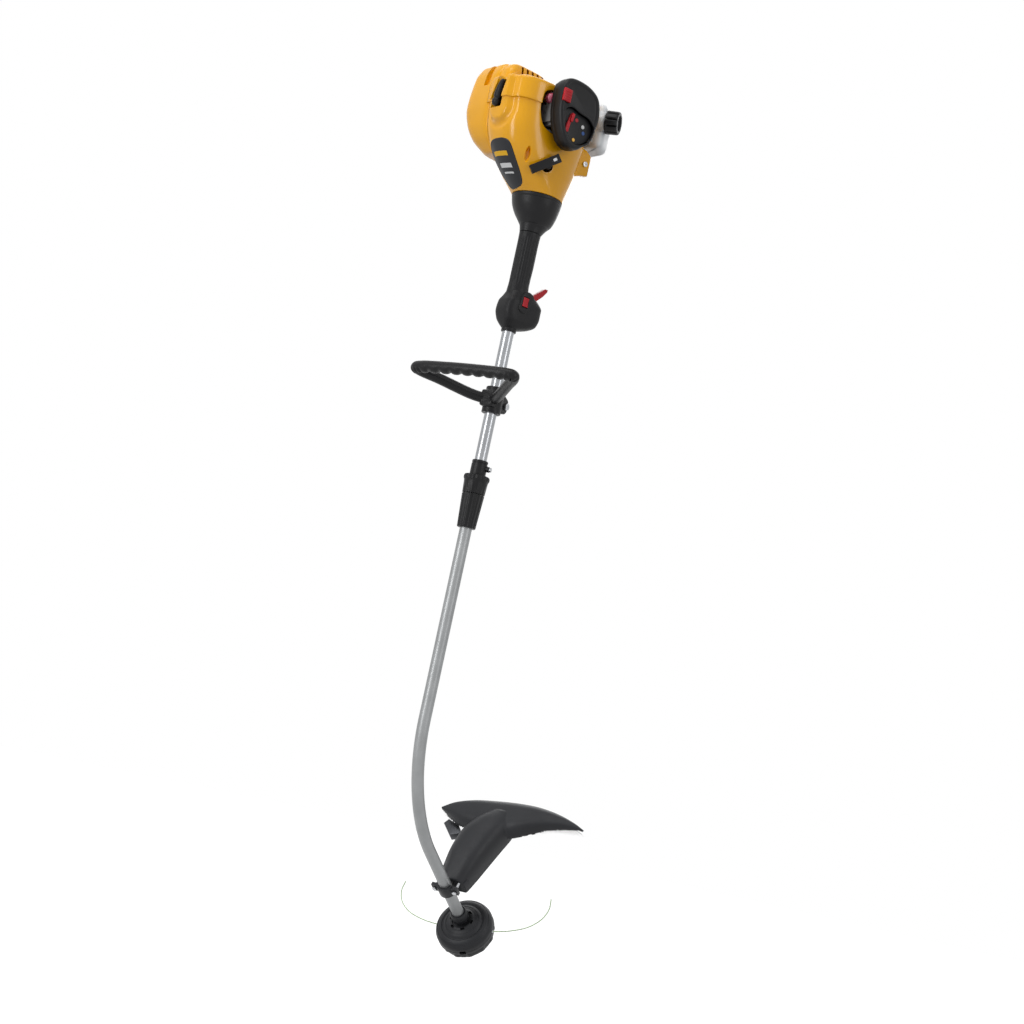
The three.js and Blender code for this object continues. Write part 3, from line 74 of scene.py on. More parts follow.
# %% Camera
VIEW_TURN = math.radians(-37.83)
VIEW_RISE = math.radians(-8.42)
VIEW_LEAN = math.radians(12.02)
back = Vector((math.sin(VIEW_TURN) * math.cos(VIEW_RISE), -math.cos(VIEW_TURN) * math.cos(VIEW_RISE),
               math.sin(VIEW_RISE)))
sideways = Vector((math.cos(VIEW_TURN), math.sin(VIEW_TURN), 0))
rise = back.cross(sideways)
view_right = math.cos(VIEW_LEAN) * sideways + math.sin(VIEW_LEAN) * rise
view_up = math.cos(VIEW_LEAN) * rise - math.sin(VIEW_LEAN) * sideways
camera_data = bpy.data.cameras.new("camera")
camera = bpy.data.objects.new("camera", camera_data)
bpy.context.scene.collection.objects.link(camera)
camera_data.lens = 73.044
camera_data.sensor_width = 36
camera_place = Vector((-2.1993, -2.9538, -0.7360))
axes = Matrix((view_right, view_up, back)).transposed()
camera.matrix_world = Matrix.Translation(camera_place) @ axes.to_4x4()
bpy.context.scene.camera = camera
bpy.context.scene.view_settings.view_transform = "Standard"
print("camera at", tuple(round(v, 3) for v in camera_place))

# %% Colour and node helpers
def srgb(code):
    values = [int(code[i:i + 2], 16) / 255 for i in (1, 3, 5)]
    linear = [v / 12.92 if v <= 0.04045 else ((v + 0.055) / 1.055) ** 2.4 for v in values]
    return (*linear, 1.0)


def add(tree, kind, inputs=None, **settings):
    made = tree.nodes.new(kind)
    for name, value in settings.items():
        setattr(made, name, value)
    for name, value in (inputs or {}).items():
        if isinstance(value, bpy.types.NodeSocket):
            tree.links.new(value, made.inputs[name])
        else:
            made.inputs[name].default_value = value
    return made


def new_material(name):
    material = bpy.data.materials.new(name)
    material.use_nodes = True
    tree = material.node_tree
    tree.nodes.clear()
    output = add(tree, "ShaderNodeOutputMaterial")
    place = add(tree, "ShaderNodeTexCoord").outputs["Object"]
    return material, tree, output, place


# %% Floor and world
FLOOR_Z = cad_box[0][2] - 2 * MM
SKY_SHARE = 0.48


def asked_by(tree, *kinds):
    """One where a ray of any of these kinds is looking, and nought elsewhere."""
    path = add(tree, "ShaderNodeLightPath")
    seen = path.outputs[kinds[0]]
    for kind in kinds[1:]:
        either = add(tree, "ShaderNodeMath", {0: seen, 1: path.outputs[kind]}, operation="MAXIMUM")
        seen = either.outputs[0]
    return seen


def pale_stage():
    material, tree, output, _ = new_material("pale_floor")
    seen = asked_by(tree, "Is Camera Ray", "Is Glossy Ray")
    paint = add(tree, "ShaderNodeBsdfDiffuse", {"Color": (0.30, 0.30, 0.30, 1)})
    glow = add(tree, "ShaderNodeEmission", {"Color": (1, 1, 1, 1), "Strength": seen})
    both = add(tree, "ShaderNodeAddShader", {0: paint.outputs[0], 1: glow.outputs[0]})
    tree.links.new(both.outputs[0], output.inputs["Surface"])
    bpy.ops.object.select_all(action="DESELECT")
    bpy.ops.mesh.primitive_plane_add(size=30, location=(0, 0, FLOOR_Z))
    floor = bpy.context.object
    floor.name = "floor"
    floor.data.materials.append(material)
    world = bpy.data.worlds.new("pale_world")
    bpy.context.scene.world = world
    world.use_nodes = True
    tree = world.node_tree
    tree.nodes.clear()
    seen = asked_by(tree, "Is Camera Ray", "Is Transmission Ray", "Is Glossy Ray")
    strength = add(tree, "ShaderNodeMapRange", {"Value": seen, "To Min": SKY_SHARE, "To Max": 1.0})
    sky = add(tree, "ShaderNodeBackground", {"Color": (1, 1, 1, 1), "Strength": strength.outputs[0]})
    output = add(tree, "ShaderNodeOutputWorld")
    tree.links.new(sky.outputs[0], output.inputs["Surface"])


pale_stage()
print("floor at", FLOOR_Z)

# %% Soft boxes
LAMP_TARGET = Vector((0, 0, 0.1))


def soft_box(name, to_right, to_up, to_back, width, height, power):
    data = bpy.data.lights.new(name, "AREA")
    data.shape = "RECTANGLE"
    data.size = width
    data.size_y = height
    data.energy = power
    lamp = bpy.data.objects.new(name, data)
    bpy.context.scene.collection.objects.link(lamp)
    away = view_right * to_right + view_up * to_up + back * to_back
    place = LAMP_TARGET + away
    facing = (place - LAMP_TARGET).to_track_quat("Z", "Y").to_matrix().to_4x4()
    lamp.matrix_world = Matrix.Translation(place) @ facing


soft_box("key_left", -1.9, 0.9, 1.7, 0.7, 2.2, 36)
soft_box("fill_right", 2.2, 0.5, 1.6, 0.6, 2.2, 16)
soft_box("top_wash", -0.3, 2.7, 0.8, 2.2, 1.2, 26)
soft_box("rear_wash", 0.6, 1.0, -2.4, 2.0, 2.0, 22)
print("soft boxes: 4")

# %% [markdown]
# ## Cutting lines
# Two lengths of pale green drawn nylon, 2.2 mm thick, leave the head through steel eyelets. Each is
# just under 150 mm long, stiff, and keeps the curl of the spool it came from. They are cords, so their
# route and true length come first. They lie in the head's own frame, whose Z runs up the tube.

# %% Frames of the bent lower half
def spun(degrees, axis="Z"):
    return Matrix.Rotation(math.radians(degrees), 4, axis)


def shifted(x, y, z):
    return Matrix.Translation(Vector((x, y, z)) * MM)


UPRIGHT = Matrix.Rotation(math.pi / 2, 4, "X")
BEND = spun(25)
LOOP = spun(22)
BEND_ANGLE = math.radians(58)
BEND_RADIUS = 266
BEND_TOP = -584
END_STRAIGHT = 203
head_x = BEND_RADIUS * (1 - math.cos(BEND_ANGLE)) + END_STRAIGHT * math.sin(BEND_ANGLE)
head_z = BEND_TOP - BEND_RADIUS * math.sin(BEND_ANGLE) - END_STRAIGHT * math.cos(BEND_ANGLE)
HEAD = BEND @ shifted(head_x, 0, head_z) @ Matrix.Rotation(-BEND_ANGLE, 4, "Y")
ROW = Matrix.Identity(4)
print("head frame at", tuple(round(v, 4) for v in HEAD.translation))

# %% Smooth paths
def smooth(points, steps):
    """Points along a centripetal spline through the given points, evenly spread between them."""
    rows = [Vector(p) for p in points]
    rows = [rows[0] * 2 - rows[1]] + rows + [rows[-1] * 2 - rows[-2]]
    made = []
    for k in range(1, len(rows) - 2):
        a, b, c, d = rows[k - 1:k + 3]
        knots = [0.0]
        for start, end in ((a, b), (b, c), (c, d)):
            knots.append(knots[-1] + max((end - start).length ** 0.5, 1e-6))
        for step in range(steps):
            t = knots[1] + (knots[2] - knots[1]) * step / steps

            def blend(p, q, i, j):
                return (p * (knots[j] - t) + q * (t - knots[i])) / (knots[j] - knots[i])

            ab, bc, cd = blend(a, b, 0, 1), blend(b, c, 1, 2), blend(c, d, 2, 3)
            made.append(blend(blend(ab, bc, 0, 2), blend(bc, cd, 1, 3), 1, 2))
    made.append(rows[-2].copy())
    return made


def length_of(path):
    return sum((b - a).length for a, b in zip(path, path[1:]))


# %% Finishing every piece the same way
def pick(*pieces):
    """Select these pieces only, with the first one active."""
    bpy.ops.object.select_all(action="DESELECT")
    for piece in pieces:
        piece.select_set(True)
    bpy.context.view_layer.objects.active = pieces[0]


def moved(piece, place):
    pick(piece)
    piece.matrix_world = place @ piece.matrix_world
    bpy.ops.object.transform_apply(location=True, rotation=True, scale=True)
    return piece


def finish(piece, name, body, nodes, material, place=ROW, angle=38):
    moved(piece, place)
    piece.name = name
    piece.data.name = name
    bpy.ops.object.shade_smooth_by_angle(angle=math.radians(angle))
    piece.data.materials.clear()
    piece.data.materials.append(material)
    if body:
        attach(piece, body)
    if nodes:
        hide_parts(*nodes)
    return piece


# %% [markdown]
# ## Finishes
# Every finish is one function of a few layers: a base colour with slow variation, a roughness that
# changes with handling, and a bump for the grain left by the mould or the tool.

# %% Layers shared by all finishes
def noise(tree, place, scale, detail, rough=0.5):
    made = add(tree, "ShaderNodeTexNoise", {"Vector": place, "Scale": scale, "Detail": detail,
                                            "Roughness": rough})
    return made.outputs["Fac"]


def toned(base, share):
    return tuple(min(1, v * share) for v in base[:3]) + (1,)


def two_tones(tree, height, dark, light, low=0.3, high=0.7):
    ramp = add(tree, "ShaderNodeValToRGB", {"Fac": height})
    for element, position, colour in zip(ramp.color_ramp.elements, (low, high), (dark, light)):
        element.position = position
        element.color = colour
    return ramp.outputs["Color"]


def ranged(tree, value, low, high, to_low, to_high):
    made = add(tree, "ShaderNodeMapRange", {"Value": value, "From Min": low, "From Max": high,
                                            "To Min": to_low, "To Max": to_high})
    return made.outputs[0]


def bumped(tree, height, strength, distance):
    made = add(tree, "ShaderNodeBump", {"Height": height, "Strength": strength,
                                        "Distance": distance})
    return made.outputs[0]


def surfaced(tree, output, inputs):
    shader = add(tree, "ShaderNodeBsdfPrincipled", inputs)
    tree.links.new(shader.outputs[0], output.inputs["Surface"])


# %% Moulded plastics
def moulded(name, code, rough, grain_mm, grain_depth, shade=0.12, coat=0.0, spread=0.10, dust=None,
            shine=0.22):
    """Injection-moulded plastic: grain from the tool, slow tone changes, handled patches."""
    material, tree, output, place = new_material(name)
    base = srgb(code)
    colour = two_tones(tree, noise(tree, place, 14.0, 3.0), toned(base, 1 - shade),
                       toned(base, 1 + shade * 0.8), high=0.75)
    wear = ranged(tree, noise(tree, place, 90.0, 6.0, 0.7), 0.3, 0.7,
                  rough - spread / 2, rough + spread / 2)
    bump = bumped(tree, noise(tree, place, 1000.0 / grain_mm, 2.0), grain_depth, 0.0003)
    if dust:
        few = ranged(tree, noise(tree, place, 420.0, 4.0, 0.8), 0.62, 0.72, 0.0, 0.35)
        mixed = add(tree, "ShaderNodeMix", {0: few, 6: colour, 7: srgb(dust)}, data_type="RGBA")
        colour = mixed.outputs[2]
    surfaced(tree, output, {"Base Color": colour, "Roughness": wear, "Normal": bump, "IOR": 1.5,
                            "Coat Weight": coat, "Coat Roughness": 0.06,
                            "Specular IOR Level": shine})
    return material


yellow_abs = moulded("glossy_yellow_abs", "#E8A508", 0.20, 1.6, 0.04, shade=0.05, coat=0.12, spread=0.06,
                      shine=0.30)
black_nylon = moulded("black_glass_filled_nylon", "#111113", 0.40, 0.7, 0.35, shade=0.18, dust="#2C2C2E")
black_rubbered = moulded("black_soft_grip", "#101012", 0.46, 0.5, 0.30, shade=0.15)
charcoal_pp = moulded("charcoal_polypropylene", "#2C2D30", 0.42, 0.8, 0.28, shade=0.14, dust="#434447")
dark_head_pp = moulded("dark_head_polypropylene", "#26272A", 0.42, 0.9, 0.25, shade=0.15, dust="#3E3F43")
red_abs = moulded("red_moulded_abs", "#B5202A", 0.32, 0.8, 0.12, shade=0.12)
badge_black = moulded("badge_black_vinyl", "#232428", 0.38, 0.4, 0.12, shade=0.10)
badge_yellow = moulded("badge_yellow_print", "#E3AE25", 0.40, 0.5, 0.05, shade=0.04)
badge_white = moulded("badge_white_print", "#D8D9DA", 0.42, 0.5, 0.05, shade=0.04)
badge_blue = moulded("badge_blue_print", "#3A5A96", 0.42, 0.5, 0.05, shade=0.05)
print("plastics:", yellow_abs.name, black_nylon.name, charcoal_pp.name)

# %% Metals
def metal(name, code, rough, mark_mm, depth=0.10, spread=0.12, metallic=1.0):
    """Drawn, turned or cast metal: fine marks left by the tool, and a slow stain."""
    material, tree, output, place = new_material(name)
    base = srgb(code)
    marks = noise(tree, place, 1000.0 / mark_mm, 4.0)
    colour = two_tones(tree, noise(tree, place, 30.0, 5.0), toned(base, 0.86), base)
    wear = ranged(tree, marks, 0.3, 0.7, max(rough - spread / 2, 0.03), rough + spread / 2)
    surfaced(tree, output, {"Base Color": colour, "Metallic": metallic, "Roughness": wear,
                            "Normal": bumped(tree, marks, depth, 0.0002)})
    return material


bright_tube = metal("bright_drawn_steel", "#A2A4A7", 0.27, 0.8, depth=0.02, spread=0.04)
satin_tube = metal("satin_silver_paint", "#9B9D9E", 0.42, 0.9, depth=0.12, metallic=0.55)
zinc_steel = metal("zinc_plated_steel", "#B9BBBE", 0.30, 0.6)
dark_steel = metal("oiled_spring_steel", "#4A4B4E", 0.40, 0.6)
brass = metal("turned_brass", "#C79A4B", 0.28, 0.5)
cast_alloy = metal("die_cast_aluminium", "#8E9092", 0.55, 1.2, depth=0.35)
print("metals: 6")

# %% Milky, rubbery and stranded finishes
def clear_part(name, code, rough, through, scatter, scatter_mm):
    """Blow-moulded polyethylene, silicone or drawn nylon: light goes in and comes back milky."""
    material, tree, output, place = new_material(name)
    base = srgb(code)
    colour = two_tones(tree, noise(tree, place, 24.0, 3.0), toned(base, 0.93), base, low=0.35)
    bump = bumped(tree, noise(tree, place, 1000.0, 3.0), 0.1, 0.0002)
    surfaced(tree, output, {"Base Color": colour, "Roughness": rough, "IOR": 1.5,
                            "Transmission Weight": through, "Subsurface Weight": scatter,
                            "Subsurface Scale": scatter_mm * MM, "Normal": bump,
                            "Subsurface Radius": (1.0, 1.0, 1.0)})
    return material


tank_hdpe = clear_part("milky_polyethylene", "#E4E7EA", 0.36, 0.12, 0.35, 4.0)
bulb_silicone = clear_part("pink_silicone", "#D2607A", 0.22, 0.30, 0.30, 3.0)
line_nylon = clear_part("pale_green_nylon", "#CDE3BC", 0.34, 0.15, 0.25, 1.0)
hose_clear = clear_part("amber_fuel_hose", "#BDA465", 0.30, 0.30, 0.20, 1.0)
filter_foam = moulded("open_cell_foam", "#45464A", 0.92, 1.2, 1.0, shade=0.35)
rope_braid = moulded("braided_starter_rope", "#C9C5B8", 0.88, 0.8, 0.9, shade=0.2)
print("soft finishes: 6")

# %% Line geometry
EYELET_Z = -40
LINE_RADIUS = 1.1
eyelet_turn = spun(6)


def cutting_line(side, name):
    start = 50.5
    points = [(x, side * reach, EYELET_Z + up) for x, reach, up in (
        (0, start, 0), (0.5, start + 12, 0), (6, 92, 1), (18, 123, 2), (38, 145, 4), (60, 153, 6),
        (80, 151, 8))]
    place = HEAD @ eyelet_turn
    route = [place @ (point * MM) for point in smooth(points, 4)]
    curve = bpy.data.curves.new(name, "CURVE")
    curve.dimensions = "3D"
    spline = curve.splines.new("POLY")
    spline.points.add(len(route) - 1)
    for point, target in zip(route, spline.points):
        target.co = (*point, 1)
    curve.bevel_depth = LINE_RADIUS * MM
    curve.bevel_resolution = 4
    curve.use_fill_caps = True
    piece = bpy.data.objects.new(name, curve)
    bpy.context.scene.collection.objects.link(piece)
    piece.data.materials.append(line_nylon)
    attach(piece, "head")
    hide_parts(name.replace("nylon", "cutting"))
    print(name, "length mm:", round(length_of(route) / MM, 1))


cutting_line(1, "nylon_line_left")
cutting_line(-1, "nylon_line_right")

# %% [markdown]
# ## Rings and sections
# Most mouldings are made by one tool: a flat ring of points is added, then extruded along the part,
# and each new ring is moved to its section. `stack` does that with the edit-mode extrude, so a
# section can be round, boxy, fluted or freehand. Rings are given in millimetres in the part's frame.

# %% The stacking tool
def stack(rings):
    bpy.ops.object.select_all(action="DESELECT")
    bpy.ops.mesh.primitive_circle_add(vertices=len(rings[0]), radius=1, fill_type="NGON")
    piece = bpy.context.object
    bpy.ops.object.mode_set(mode="EDIT")
    form = bmesh.from_edit_mesh(piece.data)
    form.verts.ensure_lookup_table()
    order = form.verts.layers.int.new("order")
    for index, vert in enumerate(form.verts):
        vert[order] = index
        vert.co = Vector(rings[0][index]) * MM
    bmesh.update_edit_mesh(piece.data)
    bpy.ops.mesh.select_all(action="SELECT")
    for ring in rings[1:]:
        bpy.ops.mesh.extrude_region_move()
        form = bmesh.from_edit_mesh(piece.data)
        order = form.verts.layers.int["order"]
        for vert in form.verts:
            if vert.select:
                vert.co = Vector(ring[vert[order]]) * MM
        bmesh.update_edit_mesh(piece.data)
    bpy.ops.mesh.select_all(action="SELECT")
    bpy.ops.mesh.remove_doubles(threshold=0.000002)
    bpy.ops.mesh.normals_make_consistent(inside=False)
    bpy.ops.object.mode_set(mode="OBJECT")
    return piece


def hoop(rings):
    """Rings that come back to the first one, so the ends join and their flat caps go."""
    piece = stack(rings + [rings[0]])
    bpy.ops.object.mode_set(mode="EDIT")
    bpy.ops.mesh.select_all(action="DESELECT")
    form = bmesh.from_edit_mesh(piece.data)
    for face in form.faces:
        if len(face.verts) > 4:
            face.select_set(True)
    bmesh.update_edit_mesh(piece.data)
    bpy.ops.mesh.delete(type="ONLY_FACE")
    bpy.ops.mesh.select_all(action="SELECT")
    bpy.ops.mesh.normals_make_consistent(inside=False)
    bpy.ops.object.mode_set(mode="OBJECT")
    return piece


def spread_turns(sides):
    return [2 * math.pi * k / sides for k in range(sides)]


def flat_circle(radius, sides):
    return [(radius * math.cos(turn), radius * math.sin(turn)) for turn in spread_turns(sides)]


def circle(radius, z, sides=64):
    return [(x, y, z) for x, y in flat_circle(radius, sides)]


def waved(radius, z, sides, wave):
    """A ring whose radius grows by wave(turn) as it goes round."""
    return [((radius + wave(turn)) * math.cos(turn), (radius + wave(turn)) * math.sin(turn), z)
            for turn in spread_turns(sides)]


def turned(profile, sides=64):
    """A turned part: the profile's radius and height in millimetres, from the bottom to the top."""
    return stack([circle(max(radius, 0.02), z, sides) for radius, z in profile])


def swept(path, section, up=Vector((0, 0, 1))):
    """Section points (across, up) carried square to a path; section may change along it."""
    rings = []
    for index, point in enumerate(path):
        before = path[max(index - 1, 0)]
        after = path[min(index + 1, len(path) - 1)]
        ahead = (after - before).normalized()
        across = ahead.cross(up).normalized()
        above = across.cross(ahead).normalized()
        points = section(index / (len(path) - 1)) if callable(section) else section
        rings.append([tuple(point + across * u + above * v) for u, v in points])
    return stack(rings)


def modified(piece, kind, **settings):
    change = piece.modifiers.new(kind.lower(), kind)
    for name, value in settings.items():
        setattr(change, name, value)
    pick(piece)
    bpy.ops.object.modifier_apply(modifier=change.name)
    return piece


def carve(piece, *tools, operation="DIFFERENCE"):
    for tool in tools:
        modified(piece, "BOOLEAN", object=tool, operation=operation, solver="EXACT")
        bpy.data.objects.remove(tool)
    return piece


def soften(piece, width, segments=2, angle=35):
    return modified(piece, "BEVEL", width=width * MM, segments=segments, limit_method="ANGLE",
                    angle_limit=math.radians(angle), miter_outer="MITER_ARC", use_clamp_overlap=True)


def box(x0, x1, y0, y1, z0, z1):
    bpy.ops.object.select_all(action="DESELECT")
    bpy.ops.mesh.primitive_cube_add(size=1)
    piece = bpy.context.object
    piece.matrix_world = (Matrix.Translation(Vector((x0 + x1, y0 + y1, z0 + z1)) * MM / 2)
                          @ Matrix.Diagonal(Vector((x1 - x0, y1 - y0, z1 - z0)) * MM).to_4x4())
    bpy.ops.object.transform_apply(location=True, rotation=True, scale=True)
    return piece


def merged(*pieces):
    pick(*pieces)
    bpy.ops.object.join()
    return pieces[0]


def aimed(start, end):
    """The frame at start whose Z runs to end, in millimetres."""
    ahead = (Vector(end) - Vector(start)).normalized()
    return Matrix.Translation(Vector(start) * MM) @ ahead.to_track_quat("Z", "Y").to_matrix().to_4x4()


def outline(points, steps=6):
    """A closed smooth outline through flat points."""
    rows = [Vector((*p, 0)) for p in points]
    count = len(rows)
    made = []
    for k in range(count):
        a, b, c, d = (rows[(k + j - 1) % count] for j in range(4))
        for step in range(steps):
            t = step / steps
            p = 0.5 * (2 * b + (c - a) * t + (2 * a - 5 * b + 4 * c - d) * t * t
                       + (3 * b - a - 3 * c + d) * t ** 3)
            made.append((p.x, p.y))
    return made


def grown(points, distance):
    """The outline moved outwards by a distance, or inwards where it is negative."""
    count = len(points)
    area = sum(points[k][0] * points[(k + 1) % count][1] - points[(k + 1) % count][0] * points[k][1]
               for k in range(count))
    way = 1 if area > 0 else -1
    made = []
    for k in range(count):
        (ax, ay), (bx, by) = points[k - 1], points[(k + 1) % count]
        run = math.hypot(bx - ax, by - ay) or 1.0
        made.append((points[k][0] + way * distance * (by - ay) / run,
                     points[k][1] - way * distance * (bx - ax) / run))
    return made


def copy_of(node, bevel, segments=2):
    """A copy of a measured part, its loose triangles merged and its edges rounded."""
    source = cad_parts[node]
    piece = source.copy()
    piece.data = source.data.copy()
    bpy.context.scene.collection.objects.link(piece)
    piece.parent = None
    piece.matrix_world = Matrix.Identity(4)
    piece.hide_set(False)
    pick(piece)
    bpy.ops.object.mode_set(mode="EDIT")
    bpy.ops.mesh.select_all(action="SELECT")
    bpy.ops.mesh.remove_doubles(threshold=0.00001)
    bpy.ops.mesh.dissolve_limited(angle_limit=math.radians(1.5))
    bpy.ops.object.mode_set(mode="OBJECT")
    return soften(piece, bevel, segments)


def rounded(node, name, body, material, bevel, segments=2):
    return finish(copy_of(node, bevel, segments), name, body, [node], material)


print("modelling tools ready")

# %% [markdown]
# ## The shaft
# The upper tube is bright drawn steel and slides into the coupler. The lower tube is painted silver:
# straight for 42 cm, then bent round a 266 mm former, then straight down to the head. It is one ring
# carried along that path.

# %% Upper and lower tube
TUBE_RADIUS = 11.1
BORE = 11.2
upper = turned([(10.4, -165.8), (TUBE_RADIUS, -165.4), (TUBE_RADIUS, 365.6), (10.4, 366)], 72)
finish(upper, "upper_tube_bright", "engine", ["upper_tube"], bright_tube)


def shaft_path(top):
    points = [Vector((0, 0, z)) for z in (top, top - 1, -300, -440)]
    for step in range(37):
        turn = BEND_ANGLE * step / 36
        points.append(Vector((BEND_RADIUS * (1 - math.cos(turn)), 0,
                              BEND_TOP - BEND_RADIUS * math.sin(turn))))
    ahead = Vector((math.sin(BEND_ANGLE), 0, -math.cos(BEND_ANGLE)))
    points.append(points[-1] + ahead * 100)
    points.append(points[-2] + ahead * END_STRAIGHT)
    return points


lower_route = shaft_path(-168)
lower = swept(lower_route, flat_circle(TUBE_RADIUS, 56), up=Vector((0, 1, 0)))
finish(lower, "lower_tube_painted", "lower_shaft", ["lower_tube"], satin_tube, BEND)
print("shaft length mm:", round(length_of(lower_route) + 532))

# %% [markdown]
# ## Coupler
# Black nylon sleeve and nut join the two tubes. The nut has a wide grip flange at its top, a long
# taper with shallow flutes to hold it by, and a scalloped lower end. Its section is a circle whose
# radius waves round the part, so each ring is stacked from the same small formula.

# %% Coupler sleeve and nut
def fluted(radius, z, waves, depth, sharp=1.0):
    return waved(radius, z, 144,
                 lambda turn: -depth * (0.5 + 0.5 * math.cos(waves * turn)) ** sharp)


sleeve = turned([(11.3, -140), (14.2, -139.8), (14.6, -138), (14.6, -119), (13.9, -118.4),
                 (13.9, -117), (14.6, -116.4), (14.6, -113.4), (13.8, -112.2), (11.3, -112)], 72)
boss = moved(turned([(4.6, 0), (5.1, 1.5), (5.1, 9.0), (4.7, 9.5), (2.6, 9.5)], 32),
             aimed((6.2, -8.6, -126), (12, -16.5, -126)))
finish(merged(sleeve, boss), "coupler_sleeve_moulded", "engine", ["coupler_body"], black_nylon)

nut_rings = [fluted(16.2, -236.6, 14, 1.0), fluted(17.0, -235.2, 14, 1.2)]
for step in range(15):
    share = step / 14
    nut_rings.append(fluted(17.1 + (21.6 - 17.1) * share, -233 + 79 * share, 14,
                            1.2 * min(1.0, (1 - share) * 5), 0.7))
nut_rings += [fluted(radius, z, 24, *flute) for radius, z, *flute in (
    (22.0, -150, 0), (22.6, -149, 0.2), (23.4, -147.4, 0.9, 0.5), (23.5, -146, 1.0, 0.5),
    (23.5, -142.5, 1.0, 0.5), (22.4, -140.4, 0.5), (21.2, -140, 0), (14.9, -140, 0))]
groove = stack([circle(radius, z, 72) for radius, z in (
    (19.6, -175.2), (30, -175.2), (30, -173.8), (19.6, -173.8))])
finish(carve(stack(nut_rings), groove), "coupler_nut_fluted", "nut", ["coupler_nut"], black_nylon)
print("nut rings:", len(nut_rings))

# %% [markdown]
# ## Collar, grip and throttle housing
# The collar is one moulding that flares from the grip up to the engine. The grip is round with long
# flutes, and swells into the throttle housing below, which carries the red trigger underneath and
# the red stop switch on its side.

# %% Sections between stations
def boxy(x0, x1, y0, y1, z, square=2.0, sides=96):
    """A rounded box section: 2 is an ellipse, and a larger number is squarer."""
    power = 2 / square
    points = []
    for k in range(sides):
        turn = 2 * math.pi * k / sides
        c, s = math.cos(turn), math.sin(turn)
        across = math.copysign(abs(c) ** power, c) if abs(c) > 1e-6 else 0.0
        along = math.copysign(abs(s) ** power, s) if abs(s) > 1e-6 else 0.0
        points.append(((x0 + x1) / 2 + (x1 - x0) / 2 * across,
                       (y0 + y1) / 2 + (y1 - y0) / 2 * along, z))
    return points


def between(stations, z):
    """The section at a height, eased between its neighbours without overshoot."""
    if z <= stations[0][0]:
        return stations[0][1:]
    if z >= stations[-1][0]:
        return stations[-1][1:]
    k = max(i for i, station in enumerate(stations) if station[0] <= z)
    k = min(k, len(stations) - 2)
    low, high = stations[k], stations[k + 1]
    run = high[0] - low[0]
    t = (z - low[0]) / run
    values = []
    for j in range(1, len(low)):
        slope = (high[j] - low[j]) / run
        before = (low[j] - stations[k - 1][j]) / (low[0] - stations[k - 1][0]) if k else slope
        after = ((stations[k + 2][j] - high[j]) / (stations[k + 2][0] - high[0])
                 if k + 2 < len(stations) else slope)
        start = 0.0 if before * slope <= 0 else 2 * before * slope / (before + slope)
        end = 0.0 if after * slope <= 0 else 2 * after * slope / (after + slope)
        if not k:
            start = slope
        if k + 2 >= len(stations):
            end = slope
        values.append((2 * t ** 3 - 3 * t ** 2 + 1) * low[j] + (t ** 3 - 2 * t ** 2 + t) * run * start
                      + (3 * t ** 2 - 2 * t ** 3) * high[j] + (t ** 3 - t ** 2) * run * end)
    return values


def body(stations, heights, sides=96, grow=0.0, shape=None):
    rings = []
    for z in heights:
        x0, x1, y0, y1, square = between(stations, z)
        ring = boxy(x0 - grow, x1 + grow, y0 - grow, y1 + grow, z, square, sides)
        rings.append([shape(point) for point in ring] if shape else ring)
    return rings


def steps(low, high, count):
    return [low + (high - low) * k / (count - 1) for k in range(count)]


# %% Collar
collar_stations = [(318.3, -19, 22, -19, 19, 2), (330, -21, 30, -23, 23, 2), (340, -26, 38, -31, 31, 2),
                   (352, -35, 42, -38, 38, 2), (368, -43, 45, -44, 44, 2), (384.2, -47, 47, -47, 47, 2)]


def collar_seams(point):
    x, y, z = point
    dip = 0.0
    for seam in (333.5, 378.5):
        dip = max(dip, 0.7 * math.exp(-((z - seam) / 0.7) ** 2))
    reach = math.hypot(x, y) or 1.0
    return (x - dip * x / reach, y - dip * y / reach, z)


heights = sorted(steps(318.8, 383.6, 40) + steps(332, 335, 9) + steps(377, 380, 9))
rings = [boxy(-18.4, 21.4, -18.4, 18.4, 318.3)] + body(collar_stations, heights, 96, shape=collar_seams)
rings += [boxy(-46.4, 46.4, -46.4, 46.4, 384.2), boxy(-40, 40, -40, 40, 384.2)]
finish(stack(rings), "collar_moulded", "engine", ["collar"], black_nylon)

# %% Grip and housing
grip_stations = [(204, -20, 22, -19, 19, 2), (225, -18.5, 20, -18, 18, 2), (262, -18.5, 21, -18.6, 18.6, 2),
                 (300, -18.5, 21, -18.4, 18.4, 2), (318, -19, 22, -19, 19, 2)]


def grip_flutes(point):
    x, y, z = point
    turn = math.atan2(y, x)
    reach = math.hypot(x, y) or 1.0
    fade = max(0.0, min(1.0, (z - 214) / 12, (312 - z) / 8))
    dip = fade * 0.9 * (0.5 + 0.5 * math.cos(16 * turn)) ** 3
    return (x - dip * x / reach, y - dip * y / reach, z)


grip_rings = [boxy(-17, 20, -17, 17, 196, sides=160)]
grip_rings += body(grip_stations, [196.5] + steps(204, 317.4, 40), 160, shape=grip_flutes)
grip_rings += [boxy(-18.2, 21.2, -18.2, 18.2, 318, sides=160),
               boxy(-12, 12, -12, 12, 318, sides=160)]
grip = stack(grip_rings)
housing_stations = [(137, -15, 19, -15, 15, 2.2), (143, -19, 36, -20, 20, 3),
                    (152, -24, 48, -24, 24, 3.8), (168, -28, 52, -25, 25, 4.4),
                    (184, -26, 52, -25, 25, 4.4), (196, -21, 45, -22, 22, 3.4),
                    (209, -17, 22, -18, 18, 2)]
housing = stack([boxy(-13, 16, -13, 13, 136)] + body(housing_stations, steps(137, 209, 40), 96))
trigger_slot = box(19, 60, -6.2, 6.2, 184, 222)
plate_shape = outline([(-7, 171), (13, 169), (21, 200), (1, 204)], 8)
